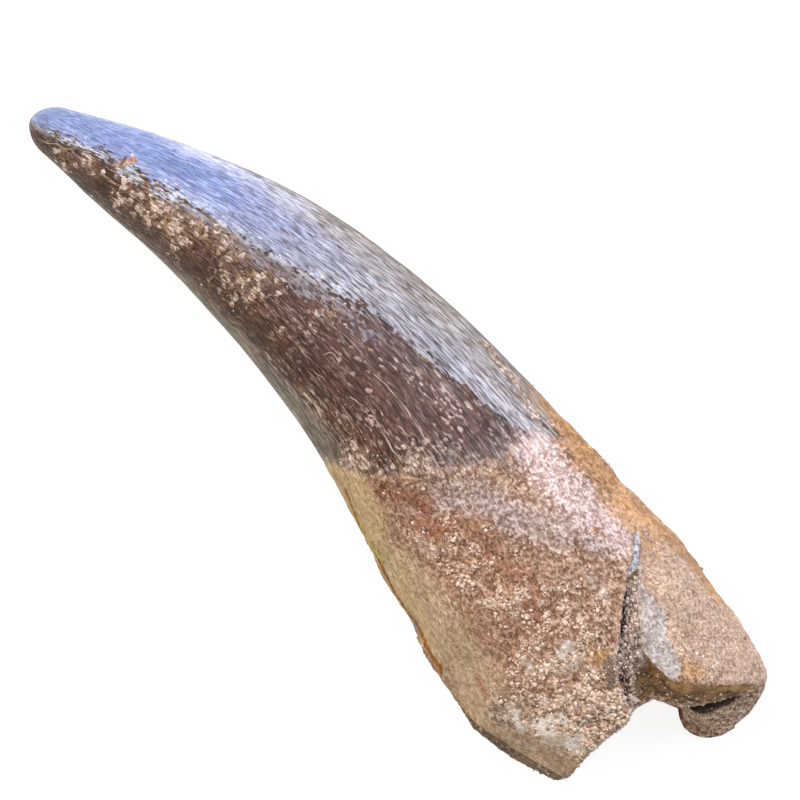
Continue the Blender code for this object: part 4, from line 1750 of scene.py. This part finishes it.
@dataclass(frozen=True)
class Studio:
    """A plain pale floor, soft panels and a camera that looks straight down."""

    floor_half: float = 1.5
    floor_colour: str = "#b0b0b0"
    floor_glow: float = 0.80
    ambient: float = 0.30
    view_width: float = 0.04266  # metres across the picture at the tooth's widest level
    view_level: float = 0.004
    view_middle: Pair = (-0.000122, 0.002663)
    view_turn: float = 39.5  # degrees
    camera_height: float = 0.6
    sensor: float = 36.0
    panels: tuple[Panel, ...] = (
        Panel("sky_panel", 95.0, 50.0, 0.9, 1.0, 0.9, "#ccdaff", 9.0),
        Panel("low_panel", 80.0, 14.0, 0.8, 1.0, 0.35, "#fff8ee", 1.0),
        Panel("key_panel", 178.0, 50.0, 0.9, 0.7, 0.7, "#fff2de", 6.0),
    )

    def build(self) -> None:
        """Lays the floor, hangs the lights and places the camera."""
        self.build_floor()
        for panel in self.panels:
            panel.build()
        world = bpy.data.worlds.new("soft_room")
        world.use_nodes = True
        background = world.node_tree.nodes["Background"]
        background.inputs["Color"].default_value = (1.0, 1.0, 1.0, 1.0)
        background.inputs["Strength"].default_value = self.ambient
        scene = bpy.context.scene
        scene.world = world
        scene.view_settings.view_transform = "Standard"
        self.build_camera()

    def build_floor(self) -> None:
        """Lays a lit white plate under the tooth."""
        half = self.floor_half
        mesh = bpy.data.meshes.new("floor")
        corners = [(-half, -half, 0), (half, -half, 0), (half, half, 0), (-half, half, 0)]
        mesh.from_pydata(corners, [], [(0, 1, 2, 3)])
        material = bpy.data.materials.new("white_acrylic_plate")
        material.use_nodes = True
        shader = material.node_tree.nodes["Principled BSDF"]
        shader.inputs["Base Color"].default_value = linear(self.floor_colour)
        shader.inputs["Roughness"].default_value = 0.6
        shader.inputs["Emission Color"].default_value = (1.0, 1.0, 1.0, 1.0)
        shader.inputs["Emission Strength"].default_value = self.floor_glow
        mesh.materials.append(material)
        floor = bpy.data.objects.new("floor", mesh)
        bpy.context.scene.collection.objects.link(floor)

    def build_camera(self) -> None:
        """Places a long-lens camera above the tooth."""
        lens = bpy.data.cameras.new("camera")
        lens.sensor_width = self.sensor
        lens.lens = self.sensor * (self.camera_height - self.view_level) / self.view_width
        lens.clip_start = 0.01
        camera = bpy.data.objects.new("camera", lens)
        camera.location = (*self.view_middle, self.camera_height)
        camera.rotation_euler = (0.0, 0.0, math.radians(self.view_turn))
        bpy.context.scene.collection.objects.link(camera)
        bpy.context.scene.camera = camera


def settle(piece: Any) -> None:
    """Lets a piece ride on the tooth's body, and logs its face count."""
    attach(piece, "root")
    log.info("%s: %d faces", piece.name, len(piece.data.polygons))


GRAIN_BEDS = (
    GrainBed(
        "root_sand", (("beads", 1.0), ("white", 0.3)), 0.03,
        ("enamel", "broken", "polish", "grey", "tan", "cream", "amber", "ochre"),
        4200, 0.045, 0.14, 11, gather=0.7,
    ),
    GrainBed(
        "base_rubble", (("rubble", 1.0),), 0.0, ("enamel", "broken", "white", "tan"),
        1500, 0.06, 0.18, 17, sunk=0.6, roughness=0.28, gather=0.8,
    ),
    GrainBed(
        "crown_crust", (("crust", 1.0), ("golden", 0.7)), 0.0, ("broken", "polish", "olive"),
        800, 0.03, 0.10, 23, sunk=0.8, roughness=0.32, gather=0.8, mineral=True,
    ),
    GrainBed(
        "break_grit", (("broken", 1.0), ("gravel", 1.0), ("strip", 0.04)), 0.0,
        ("crease", "ochre_rim", "slope"),
        3000, 0.04, 0.14, 37, sunk=0.65,
    ),
)
DEPOSITS = Deposits(
    threads=(
        Thread(((0.85, 134), (2.0, 115), (2.85, 108), (3.75, 113), (4.4, 118)), 0.040, 0.80),
        Thread(((23.0, 93.4), (24.6, 92.3), (26.5, 92.8), (27.4, 93.8)), 0.050, 0.85),
        Thread(((23.15, 121.6), (24.25, 122.0), (25.05, 121.2)), 0.050, 0.85),
        Thread(((25.4, 110.8), (26.3, 111.5), (27.15, 111.7), (27.65, 111.9)), 0.045, 0.85),
        Thread(((23.05, 114.2), (23.95, 110.7)), 0.040, 0.80),
        Thread(((20.3, 123.9), (21.45, 119.5)), 0.032, 0.75),
        Thread(((20.4, 110.2), (20.5, 106.0), (20.8, 104.0), (21.2, 104.6), (21.4, 107.7)), 0.032, 0.85),
        Thread(((25.6, 103.4), (26.1, 100.9), (26.75, 99.8)), 0.040, 0.80),
        Thread(
            ((38.9, 44.6), (39.25, 48.3), (39.65, 52.6), (40.5, 59.4), (41.3, 63.6), (42.4, 70.2)), 0.036, 0.95,
        ),
        Thread(((39.3, 60.6), (40.15, 67.4), (40.75, 72.6), (41.2, 76.4), (41.8, 81.4)), 0.036, 0.80),
    ),
    chips=(
        Chip(23.5, 102.6, (0.50, 0.30, 0.25), 20.0, 0.72),
        Chip(24.9, 112.6, (0.45, 0.28, 0.25), -40.0, 0.80),
        Chip(24.6, 111.0, (0.30, 0.16, 0.18), 30.0, 0.80),
        Chip(8.35, 131.0, (0.36, 0.34, 0.20), 45.0, 0.80),
        Chip(6.05, 103.4, (0.55, 0.40, 0.28), -50.0, 0.95),
        Chip(6.3, 99.0, (0.42, 0.22, 0.22), 60.0, 0.85),
        Chip(5.45, 82.0, (0.20, 0.75, 0.22), 12.0, 0.30),
        Chip(5.75, 70.0, (0.26, 0.34, 0.22), 12.0, 0.90),
        Chip(2.8, 143.0, (0.34, 0.30, 0.26), 10.0, 0.85),
        Chip(4.85, 107.4, (0.32, 0.28, 0.22), 70.0, 0.95),
        Chip(13.55, 98.0, (0.55, 0.25, 0.16), 80.0, 0.85),
        Chip(15.5, 115.8, (0.30, 0.20, 0.15), 30.0, 0.75),
        Chip(21.95, 85.5, (0.38, 0.20, 0.18), 20.0, 0.65),
        Chip(28.25, 99.4, (0.30, 0.22, 0.20), 10.0, 0.85),
        Chip(44.45, 87.0, (0.62, 0.34, 0.30), 25.0, 1.00),
        Chip(19.3, 76.0, (0.16, 0.16, 0.16), 0.0, 1.00),
        Chip(35.15, 34.5, (0.26, 0.22, 0.22), 0.0, 0.90),
    ),
)


def main() -> None:
    """Builds the studio, the tooth and its grains, and logs each piece's face count."""
    logging.basicConfig(level=logging.INFO)
    Studio().build()
    surface = ToothSurface(ToothForm(), Markings())
    tooth = surface.build(FossilFinish().build())
    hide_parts("tooth")
    settle(tooth)
    sand = SAND.build()
    chips = CHIPS.build()
    for bed in GRAIN_BEDS:
        settle(bed.build(tooth, chips if bed.mineral else sand))
    settle(DEPOSITS.build(surface, chips))


if __name__ == "__main__":
    main()
